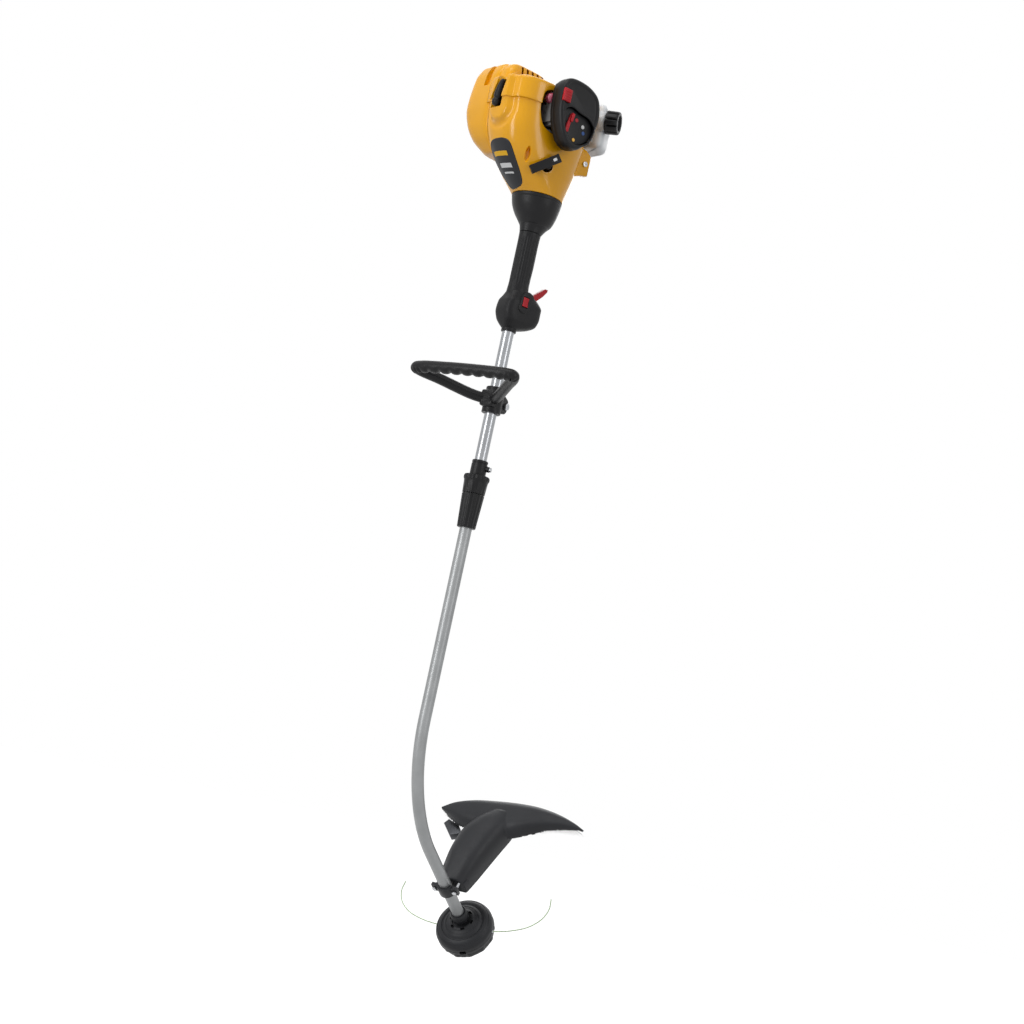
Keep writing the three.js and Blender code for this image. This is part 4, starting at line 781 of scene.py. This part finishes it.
switch_plate = stack([[(x * k + 4 * (1 - k), y, z * k + 186 * (1 - k)) for x, z in plate_shape]
                      for k, y in ((1, -18), (1, -26.2), (0.94, -27.5))])
switch_pocket = box(-2.6, 10.6, -40, -17, 176, 196)
grip = carve(grip, housing, switch_plate, operation="UNION")
grip = carve(grip, trigger_slot, switch_pocket)
foot = turned([(11.4, 129.9), (13.4, 130), (13.8, 131), (13.8, 140), (11.4, 141)], 64)
grip = soften(grip, 0.5, 2, 45)
finish(merged(grip, foot), "grip_moulded", "engine", ["grip_half_left", "grip_half_right"],
       black_rubbered)
rounded("throttle_trigger", "trigger_rounded", "trigger", red_abs, 1.1, 3)
rounded("stop_switch", "rocker_rounded", "switch", red_abs, 0.7, 3)
print("grip faces:", len(grip.data.polygons))

# %% [markdown]
# ## Loop handle
# A D-shaped loop of black nylon is clamped round the tube. Finger notches run along the underside
# of its far side. The bar is one round section carried along a smooth closed path, and the
# notches come from a section that shrinks below as it goes.

# %% Loop, clamp and bolt
LOOP_REACH, LOOP_HALF, LOOP_RISE, BAR = 123, 103, 21, 11.2
leg = [(-14, 9, 0), (-34, 28, 1.5), (-82, 73, LOOP_RISE * 0.62),
       (-LOOP_REACH + 17, LOOP_HALF - 8, LOOP_RISE * 0.84),
       (-LOOP_REACH + 6, LOOP_HALF - 3, LOOP_RISE * 0.95), (-LOOP_REACH, LOOP_HALF - 17, LOOP_RISE),
       (-LOOP_REACH - 3, 30, LOOP_RISE + 1)]
loop_path = smooth(leg + [(x, -y, z) for x, y, z in reversed(leg)], 22)


def bar_section(share):
    far = max(0.0, 1 - abs(share - 0.5) / 0.225)
    hold = min(1.0, far * 6)
    notch = hold * 3.2 * (0.5 + 0.5 * math.cos(2 * math.pi * (share - 0.5) * 35)) ** 2
    slim = 1 - 0.12 * (1 - min(1.0, far * 4))
    points = []
    for u, v in flat_circle(1, 40):
        reach = BAR * slim - (notch if v < 0 else 0) * max(0.0, -v) ** 1.2
        points.append((reach * u, reach * v))
    return points


bar = swept(loop_path, bar_section)
sleeve = stack([circle(radius, z, 72)
                for radius, z in ((16.6, -24), (17.5, -23), (17.5, 23), (16.6, 24))])
root = soften(box(-26, -6, -14, 14, -15, 15), 4, 4)
ears_outline = outline([(8, -15), (26, -17), (34, -10), (34, 6), (26, 13), (8, 15)], 6)
ears = stack([[(x, y, z) for x, z in grown(ears_outline, -d)]
              for y, d in ((-12, 1.5), (-10.5, 0), (10.5, 0), (12, 1.5))])
bolt_hole = moved(turned([(3.3, -60), (3.3, 60)], 24),
                  Matrix.Translation((0.025, 0, -0.003)) @ UPRIGHT)
loop = carve(bar, sleeve, root, ears, operation="UNION")
loop = carve(loop, turned([(BORE, -60), (BORE, 60)], 64), box(6, 60, -1.5, 1.5, -60, 60), bolt_hole)
loop = soften(loop, 0.6, 2, 50)
finish(loop, "loop_handle_moulded", "loop", ["loop_handle"], black_nylon, LOOP)
rounded("handle_bolt", "loop_bolt_plated", "loop", zinc_steel, 0.5)
print("loop path mm:", round(length_of(loop_path)))

# %% [markdown]
# ## Main shroud
# The engine hides under a glossy yellow shroud, one thin-walled moulding: narrow at the collar,
# deep towards the starter, with a raised band round its shoulder. A tongue swells under the starter
# handle. Its sections are rounded boxes that ease from station to station, and openings are cut last.

# %% Shroud sections
WALL = 3.2
SHROUD = [(384.5, -47, 47, -47, 47, 2), (398, -62, 49, -50, 50, 2.1), (415, -79, 52, -53, 54, 2.3),
          (438, -99, 55, -58, 58, 2.5), (462, -114, 57, -61, 62, 2.7), (490, -123, 58, -63, 64, 3),
          (532, -128, 58, -64, 66, 3.2)]
BAND = (-131, 60, -66.5, 68)


def ease(value, low, high):
    t = max(0.0, min(1.0, (value - low) / (high - low)))
    return t * t * (3 - 2 * t)


def tongue(point):
    """The U-shaped swelling under the starter handle, with a shallow valley round it."""
    x, y, z = point
    if x > -40:
        return point
    off = math.hypot(y, min(0, z - 517))
    front = ease(-x, 40, 80)
    swell = 1 - ease(off, 23, 29)
    valley = math.exp(-((off - 33.5) / 5.5) ** 2) * ease(z, 446, 480)
    lean = 0.45 * max(-1.0, min(1.0, y / 40))
    depth = front * (4.6 * swell - 2.8 * valley)
    return (x - depth, y + depth * lean, z)


def band_ring(z, grow=0.0, sides=144):
    x0, x1, y0, y1 = BAND
    return [tongue(p) for p in boxy(x0 - grow, x1 + grow, y0 - grow, y1 + grow, z, 3.4, sides)]


def shroud_rings(grow, sides=144):
    rings = body(SHROUD, [384.9] + steps(386, 531.2, 56), sides, grow, shape=tongue)
    rings += [band_ring(z, grow - d, sides) for z, d in (
        (531.5, 1.2), (531.9, 0.3), *((z, 0) for z in [533] + steps(537, 569, 8)),
        (571.4, 0.6), (573.3, 1.9), (574.5, 3.8), (575, 6.4))]
    return rings


def flat_prism(points, low, high, rounding=0.0):
    """An outline in X and Z carried along Y, with its two ends rounded off if asked."""
    levels = [(low, 0), (high, 0)]
    if rounding:
        levels = [(low, -rounding), (low + rounding, 0), (high - rounding, 0), (high, -rounding)]
    return stack([[(x, y, z) for x, z in (grown(points, grow) if grow else points)]
                  for y, grow in levels])


# %% Shroud walls and openings
shroud = stack(shroud_rings(0))
recess_place = aimed((-79, -50.5, 436), (-79 - 52, -50.5 - 80, 436 - 14))
RECESS = ((5.5, -12), (8.0, -10.5), (9.4, -7), (10.4, -2), (12.5, 3), (17, 9))


def recess_form(grow):
    rings = [[(x * 0.5, y * 1.5, z) for x, y, z in circle(radius + 2 * grow, level - grow, 48)]
             for radius, level in RECESS]
    return moved(stack(rings), recess_place)


room = stack([boxy(-43.8, 43.8, -43.8, 43.8, 382, sides=64)]
             + body(SHROUD, steps(385, 531, 30), 64, -WALL)
             + [boxy(-127.5, 56.5, -63, 64.5, z, 3.4, 64) for z in (545, 571)])
room = carve(room, recess_form(3))
pocket = stack([boxy(*row, 64) for row in (
    (-160, -117.5, -7, 22, 515, 2.6), (-160, -119.5, -9, 21, 519, 2.8), (-160, -120.5, -11, 18, 540, 3),
    (-160, -121.5, -16, 11, 560, 3), (-160, -122, -20, 8, 580, 3))])
intake = outline([(-82, 548), (-72, 560), (-50, 563), (-20, 560), (12, 540), (16, 512), (-6, 492),
                  (-34, 486), (-66, 494), (-80, 520)], 6)
lug = flat_prism(outline([(40, 446), (60, 449), (73, 452.5), (75, 456), (75.5, 486), (73, 492),
                          (60, 499.5), (44, 503)], 4), -36, -24, rounding=1.2)
starter_opening = soften(box(-96, 6, 20, 200, 474, 567), 9, 5)
tank_opening = soften(box(20, 200, -40, 40, 498, 560), 6, 4)
shroud = carve(shroud, lug, operation="UNION")
shroud = carve(shroud, room, pocket, flat_prism(intake, -200, -20), starter_opening, tank_opening)
TOOL = (shifted(-43, -59, 430) @ spun(-28)
        @ spun(8, "X") @ spun(-36, "Y"))
tool_seat = moved(stack([[(x * 1.25, y, z) for x, y, z in circle(8.4, level, 48)]
                         for level in (-22, 22)]),
                  TOOL @ Matrix.Translation((0.004, 0, -0.007)) @ UPRIGHT)
shroud = carve(shroud, tool_seat, recess_form(0))
shroud = soften(shroud, 0.8, 2, 42)
finish(shroud, "shroud_moulded", "engine", ["shroud"], yellow_abs)
print("shroud faces:", len(shroud.data.polygons))

# %% [markdown]
# ## Rear cover
# A second yellow moulding sits behind and above the shroud, over the muffler. It has cooling slots
# along its top right side and one deep groove down its shoulder. The shroud's own outer shape, grown
# by a third of a millimetre, is cut out of it, so the two fit like the real pair.

# %% Rear cover
def copied(piece):
    twin = piece.copy()
    twin.data = piece.data.copy()
    bpy.context.scene.collection.objects.link(twin)
    return twin


REAR = [(450, -86, 0, 30, 86, 3.2), (474, -109, 6, 30, 105, 3.8), (500, -119, 8, 30, 115, 4.6),
        (530, -123, 8, 30, 120, 5.5), (590, -118, 0, 30, 115, 6.5), (615, -108, -16, 30, 106, 7)]
REAR_TOP = [(575.3, -115, -14, 8, 100, 7), (598, -112, -16, 9, 100, 7), (615, -102, -30, 14, 98, 6)]


def domed(stations, sides, low_round=0.0):
    low, high = stations[0][0], stations[-1][0]
    rings = []
    if low_round:
        rings += body(stations, [low], sides, -low_round)
        rings += body(stations, [low + low_round * 0.3], sides, -low_round * 0.3)
    rings += body(stations, steps(low + low_round, high - 6, 34), sides)
    for level, lost in ((4.2, 0.4), (2.6, 1.2), (1.2, 2.4), (0.4, 4.0), (0, 6.0)):
        rings += body(stations, [high - level], sides, -lost)
    return rings


rear = stack(domed(REAR, 112, low_round=3))
rear = carve(rear, stack(domed(REAR_TOP, 112)), operation="UNION")
rear_room = stack(body(REAR, steps(454, 611.5, 16), 48, -WALL))
top_room = stack(body(REAR_TOP, steps(573, 611.5, 6), 48, -WALL))
slots = [soften(box(x, x + 5.5, -60, 30, 586, 611), 1.6, 3) for x in range(-88, -27, 12)]
shoulder = flat_prism([(-134, 566), (-110.5, 572), (-98.5, 625), (-134, 625)], 56, 72)
shoulder = soften(shoulder, 3, 3)
floor_under = soften(flat_prism([(-134, 562), (-107, 568), (-95, 627), (-134, 627)], 53.5, 74.5), 3, 3)
rear_room = carve(rear_room, copied(floor_under))
top_room = carve(top_room, floor_under)
COVER_FIT = 0.35
main_outer = stack(shroud_rings(COVER_FIT, 96) + [band_ring(575.3, -5.8, 96)])
below = box(-200, 200, -200, 200, 0, 440)
rear = carve(rear, rear_room, top_room, main_outer, below, shoulder, *slots)
rear = soften(rear, 0.8, 2, 42)
finish(rear, "rear_cover_moulded", "engine", ["rear_cover"], yellow_abs)
print("rear cover faces:", len(rear.data.polygons))

# %% [markdown]
# ## Badge plate
# A dark plate follows the curve of the shroud's front. Its ring of points is laid on the shroud's own
# surface formula and lifted a little. Plain bars stand where a maker would print a name.

# %% Points on the shroud
def on_shroud(y, z, lift):
    x0, x1, y0, y1, square = between(SHROUD, z)
    share = min(0.999, abs((y - (y0 + y1) / 2) / ((y1 - y0) / 2)))
    x = (x0 + x1) / 2 - (x1 - x0) / 2 * (1 - share ** square) ** (1 / square)
    step = 0.5
    slope_y = 0.0
    if share <= 0.99:
        slope_y = (share ** (square - 1)) * (1 - share ** square) ** (1 / square - 1)
    slope_y *= math.copysign((x1 - x0) / (y1 - y0), y - (y0 + y1) / 2)
    low, high = between(SHROUD, z - step), between(SHROUD, z + step)
    slope_z = (high[0] - low[0]) / (2 * step)
    normal = Vector((-1, slope_y, slope_z)).normalized()
    return tuple(Vector((x, y, z)) + normal * lift)


def laid(points, levels):
    """A plate on the shroud: each level is a share of the outline and a height over the surface."""
    middle = (sum(y for y, _ in points) / len(points), sum(z for _, z in points) / len(points))
    return stack([[on_shroud(middle[0] + (y - middle[0]) * share,
                             middle[1] + (z - middle[1]) * share, lift)
                   for y, z in points] for share, lift in levels])


INWARDS = [share / 20 for share in range(19, 0, -2)]
plate_outline = outline([(-6, 389), (14, 388.5), (24, 402), (34, 430), (32, 452), (18, 460.5),
                         (-14, 460), (-27, 450), (-26, 416), (-20, 396)], 8)
plate = laid(plate_outline, [(1, -1.6), (1, 0.5), (0.985, 0.95), (0.96, 1.0), (0.945, 0.7)]
             + [(share * 0.94, 0.7) for share in INWARDS])
finish(plate, "badge_plate", "engine", ["badge"], badge_black)


BAR_TILT = 0.06


def bar_on_badge(name, y0, y1, z0, z1, material):
    corners = [(y0, z0), (y1, z0), (y1, z1), (y0, z1)]
    points = []
    for (ay, az), (by, bz) in zip(corners, corners[1:] + corners[:1]):
        points += [(ay + (by - ay) * t / 8, az + (bz - az) * t / 8) for t in range(8)]
    leaning = [(y, z + BAR_TILT * (y - (y0 + y1) / 2)) for y, z in points]
    bar = laid(leaning, [(1, 0.5), (1, 0.85), (0.98, 0.95)] + [(share, 0.95) for share in INWARDS])
    return finish(bar, name, "engine", None, material)


bar_on_badge("badge_bar_yellow", -14, 24, 434.5, 441.5, badge_yellow)
bar_on_badge("badge_bar_white", -14, 16, 417, 423.5, badge_white)
bar_on_badge("badge_bar_thin", -12, 12, 408.5, 411, badge_white)
print("badge set")

# %% [markdown]
# ## Starter handle
# The pull handle is a nylon grip with a turned shape: a ball at the rope end, a waist and a long
# tail, set leaning in its pocket. A short run of rope runs from the hole in the shroud to the handle.

# %% Starter handle
STARTER = (shifted(-130, 8, 525.5) @ spun(15, "X")
           @ spun(-4, "Y"))
handle = turned([(0.3, -8.6), (3.6, -7.9), (6.3, -6.0), (8.0, -3.1), (8.6, 0), (8.0, 3.1),
                 (6.9, 5.2), (6.3, 6.4),
                 (6.9, 7.4), (7.9, 9.6), (8.2, 12), (8.1, 16), (7.6, 21), (6.8, 27), (5.8, 33),
                 (4.6, 38.2), (3.6, 40.6), (2.2, 41.7), (0.3, 42)], 48)
finish(handle, "starter_handle_moulded", "pull_handle", ["starter_handle"], black_nylon,
       STARTER)

# %% Starter rope
ROPE_HOLE = Vector((-119.5, 7.4, 518))
ROPE_KNOT = Vector((-129.6, 8, 524.6))
rope_section = flat_circle(1.6, 16)
inner_route = [(-23, 12, 428), (-60, 10, 440), (-104, 7, 490), (-114, 7, 509), ROPE_HOLE]
inner_rope = swept([Vector(p) for p in inner_route], rope_section)
finish(inner_rope, "starter_rope_inside", "engine", None, rope_braid)
pulled_rope = swept([ROPE_HOLE.lerp(ROPE_KNOT, k / 30) for k in range(31)], rope_section)
finish(pulled_rope, "starter_rope_pulled", None, None, rope_braid)
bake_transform(pulled_rope)
print("rope set")

# %% [markdown]
# ## Air filter cover, latch, panel and choke
# The black cover is a deep lid with a raised rim round a sunken face. A red latch sits on its left
# edge, and a bean-shaped window in its lower half shows the small control panel with the red choke
# lever and three generic marks.

# %% Filter cover
COVER = outline([(-71, 548), (-70, 570), (-58, 583), (-34, 586), (-8, 582), (12, 570), (21, 548), (22, 522),
                 (13, 495), (-3, 470), (-20, 461), (-42, 468), (-59, 491), (-69, 520)], 8)
WINDOW = outline([(-57, 512), (-55, 526), (-42, 533), (-22, 529), (2, 525), (14, 512), (10, 490), (-3, 476),
                  (-20, 470), (-38, 477), (-52, 494)], 8)


def lid_ring(y, lost):
    return [(x, y, z) for x, z in (grown(COVER, -lost) if lost else COVER)]


cover = stack([lid_ring(y, lost) for y, lost in (
    (-83, 0), (-90, 0), (-99, 0.2), (-102, 0.8), (-104, 2.0), (-105.4, 3.8), (-106, 5.6), (-105.8, 7.0),
    (-105, 8.2), (-103.9, 9.2), (-103.4, 10.6), (-103.2, 13))])
cover = carve(cover, flat_prism(grown(COVER, -2.6), -100.6, -60), flat_prism(WINDOW, -200, -60),
              soften(box(-70, -51, -120, -90, 536, 561), 1.2, 3))
lip = hoop([[(x, y, z) for x, z in grown(WINDOW, d)] for y, d in (
    (-101, 0), (-101, 3.6), (-103, 3.6), (-103.8, 3.0), (-104.3, 2.0), (-104.2, 0.9), (-103.6, 0.1))])
cover = soften(cover, 0.7, 2, 42)
finish(merged(cover, lip), "filter_cover_moulded", "air_cover", ["filter_cover"], black_nylon)
latch = copy_of("latch_button", 1.4, 3)
ridges = [soften(box(-67.5, -53.5, -108.2, -107.2, z, z + 1.6), 0.35, 2)
          for z in (540.5, 545, 549.5, 554)]
finish(merged(latch, *ridges), "latch_moulded", "latch", ["latch_button"], red_abs)
rounded("filter_base", "filter_base_moulded", "engine", black_nylon, 0.6)
rounded("choke_lever", "choke_lever_moulded", "choke", red_abs, 0.8, 3)
rounded("primer_bulb", "primer_bulb_moulded", "primer", bulb_silicone, 0.8, 3)


# %% Marks and a screw on the panel
def disc_on_panel(name, x, z, radius, material, thick=0.6):
    disc = moved(turned([(radius, 0), (radius, thick * 0.7), (radius - 0.25, thick), (0.2, thick)], 32),
                 shifted(x, -99.0, z) @ UPRIGHT)
    return finish(disc, name, "engine", None, material)


disc_on_panel("panel_mark_red", -24, 515.5, 3.6, red_abs)
disc_on_panel("panel_mark_white", -7.5, 508.5, 3.6, badge_white)
disc_on_panel("panel_mark_blue", -4, 498, 3.4, badge_blue)
disc_on_panel("panel_screw", -23.4, 478.4, 3.4, brass, 1.4)
print("filter group set")

# %% [markdown]
# ## Tank, cap and fuel line
# The tank is blown from milky polyethylene, so it has soft corners and shows a faint parting line
# round its middle. Its black cap has deep finger grooves and a sunken centre.

# %% Tank
PLAN = outline([(64, 50), (62, 0), (64, -34), (67, -49), (74, -55), (83, -52), (99, -40), (112, -29),
                (115.5, -20), (116, 10), (115.5, 38), (111, 47), (102, 51), (80, 52)], 6)


def tank_ring(z, lost, shift=0.0):
    ring = []
    for x, y in grown(PLAN, -lost):
        share = max(0.0, (x - 62) / 54)
        ring.append((x - shift * share, y, z))
    return ring


tank = stack([tank_ring(*row) for row in (
    (506.2, 11, 7), (506.2, 7.5, 7), (507, 4.6, 6.4), (508.6, 2.4, 5.4), (511, 0.9, 4), (514, 0.3, 2),
    (518, 0.3, 0.4), (530, 0.3, 0.4), (546.5, 0.3, 0.4), (547.3, 0), (548.1, 0), (548.9, 0.3, 0.4),
    *((z, 0.3, 0.4 + 15 * max(0, z - 562) / 26) for z in (556, 562, 568, 575, 581)),
    *((z, lost, 12 + lost) for z, lost in ((585, 1.4), (587.6, 3.2), (589, 5.6), (589.8, 9),
                                           (589.9, 13))))])
neck_turn = math.radians(36.5)


def along_neck(d):
    across, along = math.cos(neck_turn), math.sin(neck_turn)
    return (d * along + 28 * across, -d * across + 28 * along, 557)


neck = moved(turned([(18, -10), (18, 0), (17.5, 1.6), (15, 2.4), (15, 14.6), (12, 14.6)], 48),
             aimed(along_neck(88), along_neck(100)))
tank = carve(tank, neck, operation="UNION")
tank = soften(tank, 0.8, 2, 50)
finish(tank, "fuel_tank_blown", "engine", ["fuel_tank"], tank_hdpe)


def cap_ring(radius, z, depth=0):
    return waved(radius, z, 160, lambda turn: -depth * max(0.0, math.cos(10 * turn)) ** 2.5)


cap_rings = [cap_ring(*row) for row in (
    (20.6, 0, 0.4), (21.6, 0.5, 0.6), (22, 1.6, 0.8), (22, 3.4, 0.9), (21.9, 4.4, 3.2), (21.9, 7, 3.8),
    (21.8, 14, 3.8), (21.6, 20, 3.6), (21.0, 22.4, 2.6), (19.8, 23.7, 1.2), (18.2, 24), (15.2, 24),
    (14.4, 23.6), (14, 22.8), (13.6, 20.6), (12.6, 20.2), (5, 20.2), (4.6, 20.5), (2, 20.6))]
finish(stack(cap_rings), "fuel_cap_grooved", "cap", ["fuel_cap"], black_nylon,
       aimed(along_neck(92), along_neck(116)))
print("tank set")

# %% [markdown]
# ## Tool holder and screws
# A black T-shaped tool is parked in the shroud's side; a small white mark sits on its bar. The lug
# under the tank holds one plated screw.

# %% Tool and screws
rounded("tool_bar", "tool_bar_moulded", "tool", black_nylon, 1.8, 4)
mark = moved(stack([boxy(-3.6 + d, 3.6 - d, -2.6 + d, 2.6 - d, level, 5, 32)
                    for level, d in ((0, 0), (0.35, 0), (0.5, 0.2), (0.5, 1.5))]),
             TOOL @ Matrix.Translation((0.019, -0.008, 0)) @ UPRIGHT)
finish(mark, "tool_mark", "tool", None, badge_white)
screw = copy_of("lug_screw", 0.5)
slot_tool = box(60.2, 65.8, -40.6, -38.6, 471.4, 472.6)
finish(carve(screw, slot_tool), "lug_screw_plated", "engine", ["lug_screw"], zinc_steel)
print("tool and lug screw set")

# %% [markdown]
# ## Guard
# The guard is a bent polypropylene wing with a hollow ridge that runs back from the clamp. Wing and
# ridge are made as two closed forms, joined, and melted together a little so the ridge grows out of
# the wing as it does in the mould.

# %% Guard wing
FRONT_EDGE = [(166, 92), (156, 74), (146, 50), (140, 20), (134, -30), (140, -66), (156, -98),
              (172, -134), (183, -178), (186, -196)]
OUTER_EDGE = [(172, 95), (190, 72), (202, 36), (208, 0), (214, -50), (215, -100), (209, -146),
              (200, -176), (190, -198)]


def edge_at(edge, share):
    spots = smooth([(x, y, 0) for x, y in edge], 8)
    spot = share * (len(spots) - 1)
    index = min(int(spot), len(spots) - 2)
    return spots[index].lerp(spots[index + 1], spot - index)


print("wing span mm:", round((edge_at(OUTER_EDGE, 0) - edge_at(OUTER_EDGE, 1)).length))


def wing_height(y, share):
    edge = 22 if share < 0.5 else 14
    return 96 - edge * abs(2 * share - 1) ** 4 - 22 * (abs(y + 40) / 165) ** 3


def wing_ring(along):
    """One closed section of the wing, across it from front to outer edge: top side, then under side."""
    start, end = edge_at(FRONT_EDGE, along), edge_at(OUTER_EDGE, along)
    top, under = [], []
    for k in range(25):
        share = k / 24
        spot = start.lerp(end, share)
        z = wing_height(spot.y, share)
        edge = 1.0 if k in (0, 24) else 0.0
        top.append((spot.x, spot.y, z + 2.0 - edge))
        under.append((spot.x, spot.y, z - 2.0 + edge))
    return top + under[::-1]


wing = stack([wing_ring(k / 48) for k in range(49)])
RIDGE = [(14, 25, -27, 98, 4), (45, 30, -36, 106, 3.4), (85, 32, -46, 112, 3), (120, 30, -55, 113, 2.7),
         (150, 20, -62, 110, 2.4), (184, -4, -64, 100, 2.2)]


def ridge_ring(x, lost):
    left, right, top, square = between(RIDGE, x)
    ring = boxy(right + lost, left - lost, 22 + lost, top - lost, 0, square, 64)
    return [(x, across, up) for across, up, _ in ring]


ridge = stack([ridge_ring(14, 3), ridge_ring(14.6, 1)] + [ridge_ring(x, 0) for x in steps(17, 180, 40)]
              + [ridge_ring(182.5, 1), ridge_ring(184, 3)])
low_cut = box(0, 230, -120, 120, 0, 61)
facet = moved(box(-70, 170, -60, 60, 0, 60), shifted(30, 20, 95)
              @ spun(-14, "Y") @ spun(-36, "X"))
ridge = carve(ridge, low_cut)
guard = carve(wing, ridge, operation="UNION")
guard = modified(guard, "REMESH", mode="VOXEL", voxel_size=1.05 * MM)
guard = modified(guard, "SMOOTH", factor=0.5, iterations=9)
guard = modified(guard, "DECIMATE", ratio=0.42)
print("guard faces:", len(guard.data.polygons))

# %% Guard openings and clamp seat
hollow = stack([[(x, across, min(up, wing_height(across, 0.5) + 40))
                 for x, across, up in ridge_ring(x, WALL)]
                for x in steps(30, 174, 16)])
hollow = carve(hollow, box(0, 230, -120, 120, 100, 140))
guard = carve(guard, hollow, turned([(BORE, 60), (BORE, 120)], 48), facet)
window = carve(stack([ridge_ring(x, -0.9) for x in steps(14.5, 34, 9)]),
               soften(box(15.5, 28, -45, -12, 66, 88), 1.2, 3), operation="INTERSECT")
finish(window, "guard_window_panel", "lower_shaft", None, badge_black, HEAD)
finish(guard, "guard_moulded", "lower_shaft", ["guard"], charcoal_pp,
       HEAD, angle=50)
rounded("guard_clamp", "guard_clamp_moulded", "lower_shaft", charcoal_pp, 1.2, 3)
for hand in ("left", "right"):
    rounded("guard_bolt_" + hand, "guard_bolt_plated_" + hand, "lower_shaft", zinc_steel, 0.5)
rounded("line_cutter", "line_cutter_steel", "lower_shaft", dark_steel, 0.3)
print("guard set")

# %% [markdown]
# ## Trimmer head
# The head is a turned shape: concentric steps round the hub, a plain drum side, and a scalloped
# lower cover to turn it by. The knob below is pushed on the ground to let line out. Each piece is
# one ring of points carried down its profile.

# %% Housing with steps
drum_profile = [
    (54.4, -47), (55.2, -46.6), (55.5, -45.6), (55.5, -41), (55.1, -40.6), (55.1, -39.4), (55.5, -39),
    (55.5, -34), (55.2, -32.4), (54.4, -30), (53.5, -28), (51.4, -25.2), (50.4, -24.2), (49.9, -24.6),
    (49.2, -24), (48.3, -22.9), (45, -21.2), (42.5, -20.2), (41.2, -20.0), (40.2, -20.8),
    (39.4, -21.2), (38.2, -21.0), (37.4, -20.2), (36.4, -19.0), (33.8, -17.1), (31.8, -16.4),
    (31.2, -16.8), (30.4, -16.3), (27.5, -15), (24, -14), (23.3, -13.2), (21, -12.3), (20, -12.0),
    (18.6, -12), (18, -12.6), (18, -16), (5, -16), (5, -22), (33, -24), (46, -27), (52.4, -36),
    (52.6, -46.8)]
drum = hoop([circle(radius, z, 128) for radius, z in drum_profile])


hub_slots = [moved(soften(box(19, 23.4, -4.2, 4.2, -18.6, -10), 0.8, 2), spun(30 + 60 * k))
             for k in range(6)]
eyelet_holes = [moved(turned([(2.9, -12), (2.9, 12)], 24), eyelet_turn
                      @ Matrix.Translation((0, way * 0.0515, EYELET_Z * MM))
                      @ UPRIGHT) for way in (1, -1)]
latch_hole = moved(soften(box(50.5, 60, -6, 6, -45, -36), 0.9, 3), spun(200))
drum = carve(drum, *hub_slots, *eyelet_holes, latch_hole)
finish(drum, "head_housing_moulded", "head", ["head_housing"], dark_head_pp,
       HEAD)


# %% Scalloped cover
def scalloped(radius, z, depth=0):
    return waved(radius, z, 192, lambda turn: depth * max(0.0, math.cos(12 * turn)) ** 0.8)


skirt = hoop([scalloped(*row) for row in (
    (24, -64), (24, -67), (40, -67), (44.5, -66.8), (47.6, -65.4, 0.2), (50, -63, 0.9), (51, -60, 1.9),
    (51, -56, 2.3), (51, -50.5, 2.5), (51, -49, 2.2), (50.6, -47.5, 1.2), (49, -47.3), (47.6, -47.6),
    (47.4, -60), (43, -63.6))])
finish(skirt, "head_cover_scalloped", "head", ["head_cover"], dark_head_pp,
       HEAD)

# %% Knob, end cap and eyelets
knob = turned([(0.3, -75), (12, -75), (14, -74.9), (17.6, -74.1), (20.4, -72.6), (22.2, -70.2),
               (22.9, -68.2), (23, -66.4), (22.4, -66), (6, -66)], 96)
ribs = [moved(soften(box(21.6, 23.2, -1.2, 1.2, -71, -66.2), 0.4, 2), spun(30 * k))
        for k in range(12)]
finish(merged(knob, *ribs), "bump_knob_moulded", "knob", ["bump_knob"], charcoal_pp,
       HEAD)
end_cap = turned([(4.4, -10), (11.6, -10), (13, -9.6), (15.2, -6.8), (16, -5.2), (16, 2.4),
                  (15.4, 2.8), (15.4, 3.6), (16, 4), (16, 10), (15.6, 11.2), (14.5, 13),
                  (11.4, 13)], 72)
finish(end_cap, "tube_end_cap_moulded", "lower_shaft", ["tube_end_cap"], dark_head_pp,
       HEAD)
for hand in ("left", "right"):
    rounded("eyelet_" + hand, "eyelet_polished_" + hand, "head", zinc_steel, 0.4, 3)
print("head set")

# %% [markdown]
# ## Inner works
# Inner parts keep their measured shape, but each gets the finish of what it is made of: cast and
# machined alloy for the engine, spring steel for cables and springs, foam for the filter.

# %% Finishes of measured parts
INNER = {
    cast_alloy: ["crankcase", "cylinder", "piston", "connecting_rod", "flywheel", "carburettor", "muffler"],
    dark_steel: ["recoil_spring", "crankshaft", "drive_cable_upper", "drive_cable_lower", "spool_spring",
                 "head_arbor"],
    zinc_steel: ["coupler_screw", "spark_plug"],
    black_nylon: ["throttle_cable", "starter_plate", "starter_pulley", "ignition_module", "spool"],
    filter_foam: ["foam_filter"],
    rope_braid: ["starter_rope"],
    hose_clear: ["fuel_line"],
}
for material, names in INNER.items():
    for name in names:
        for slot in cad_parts[name].material_slots:
            slot.material = material
print("inner parts given a finish:", sum(len(names) for names in INNER.values()))
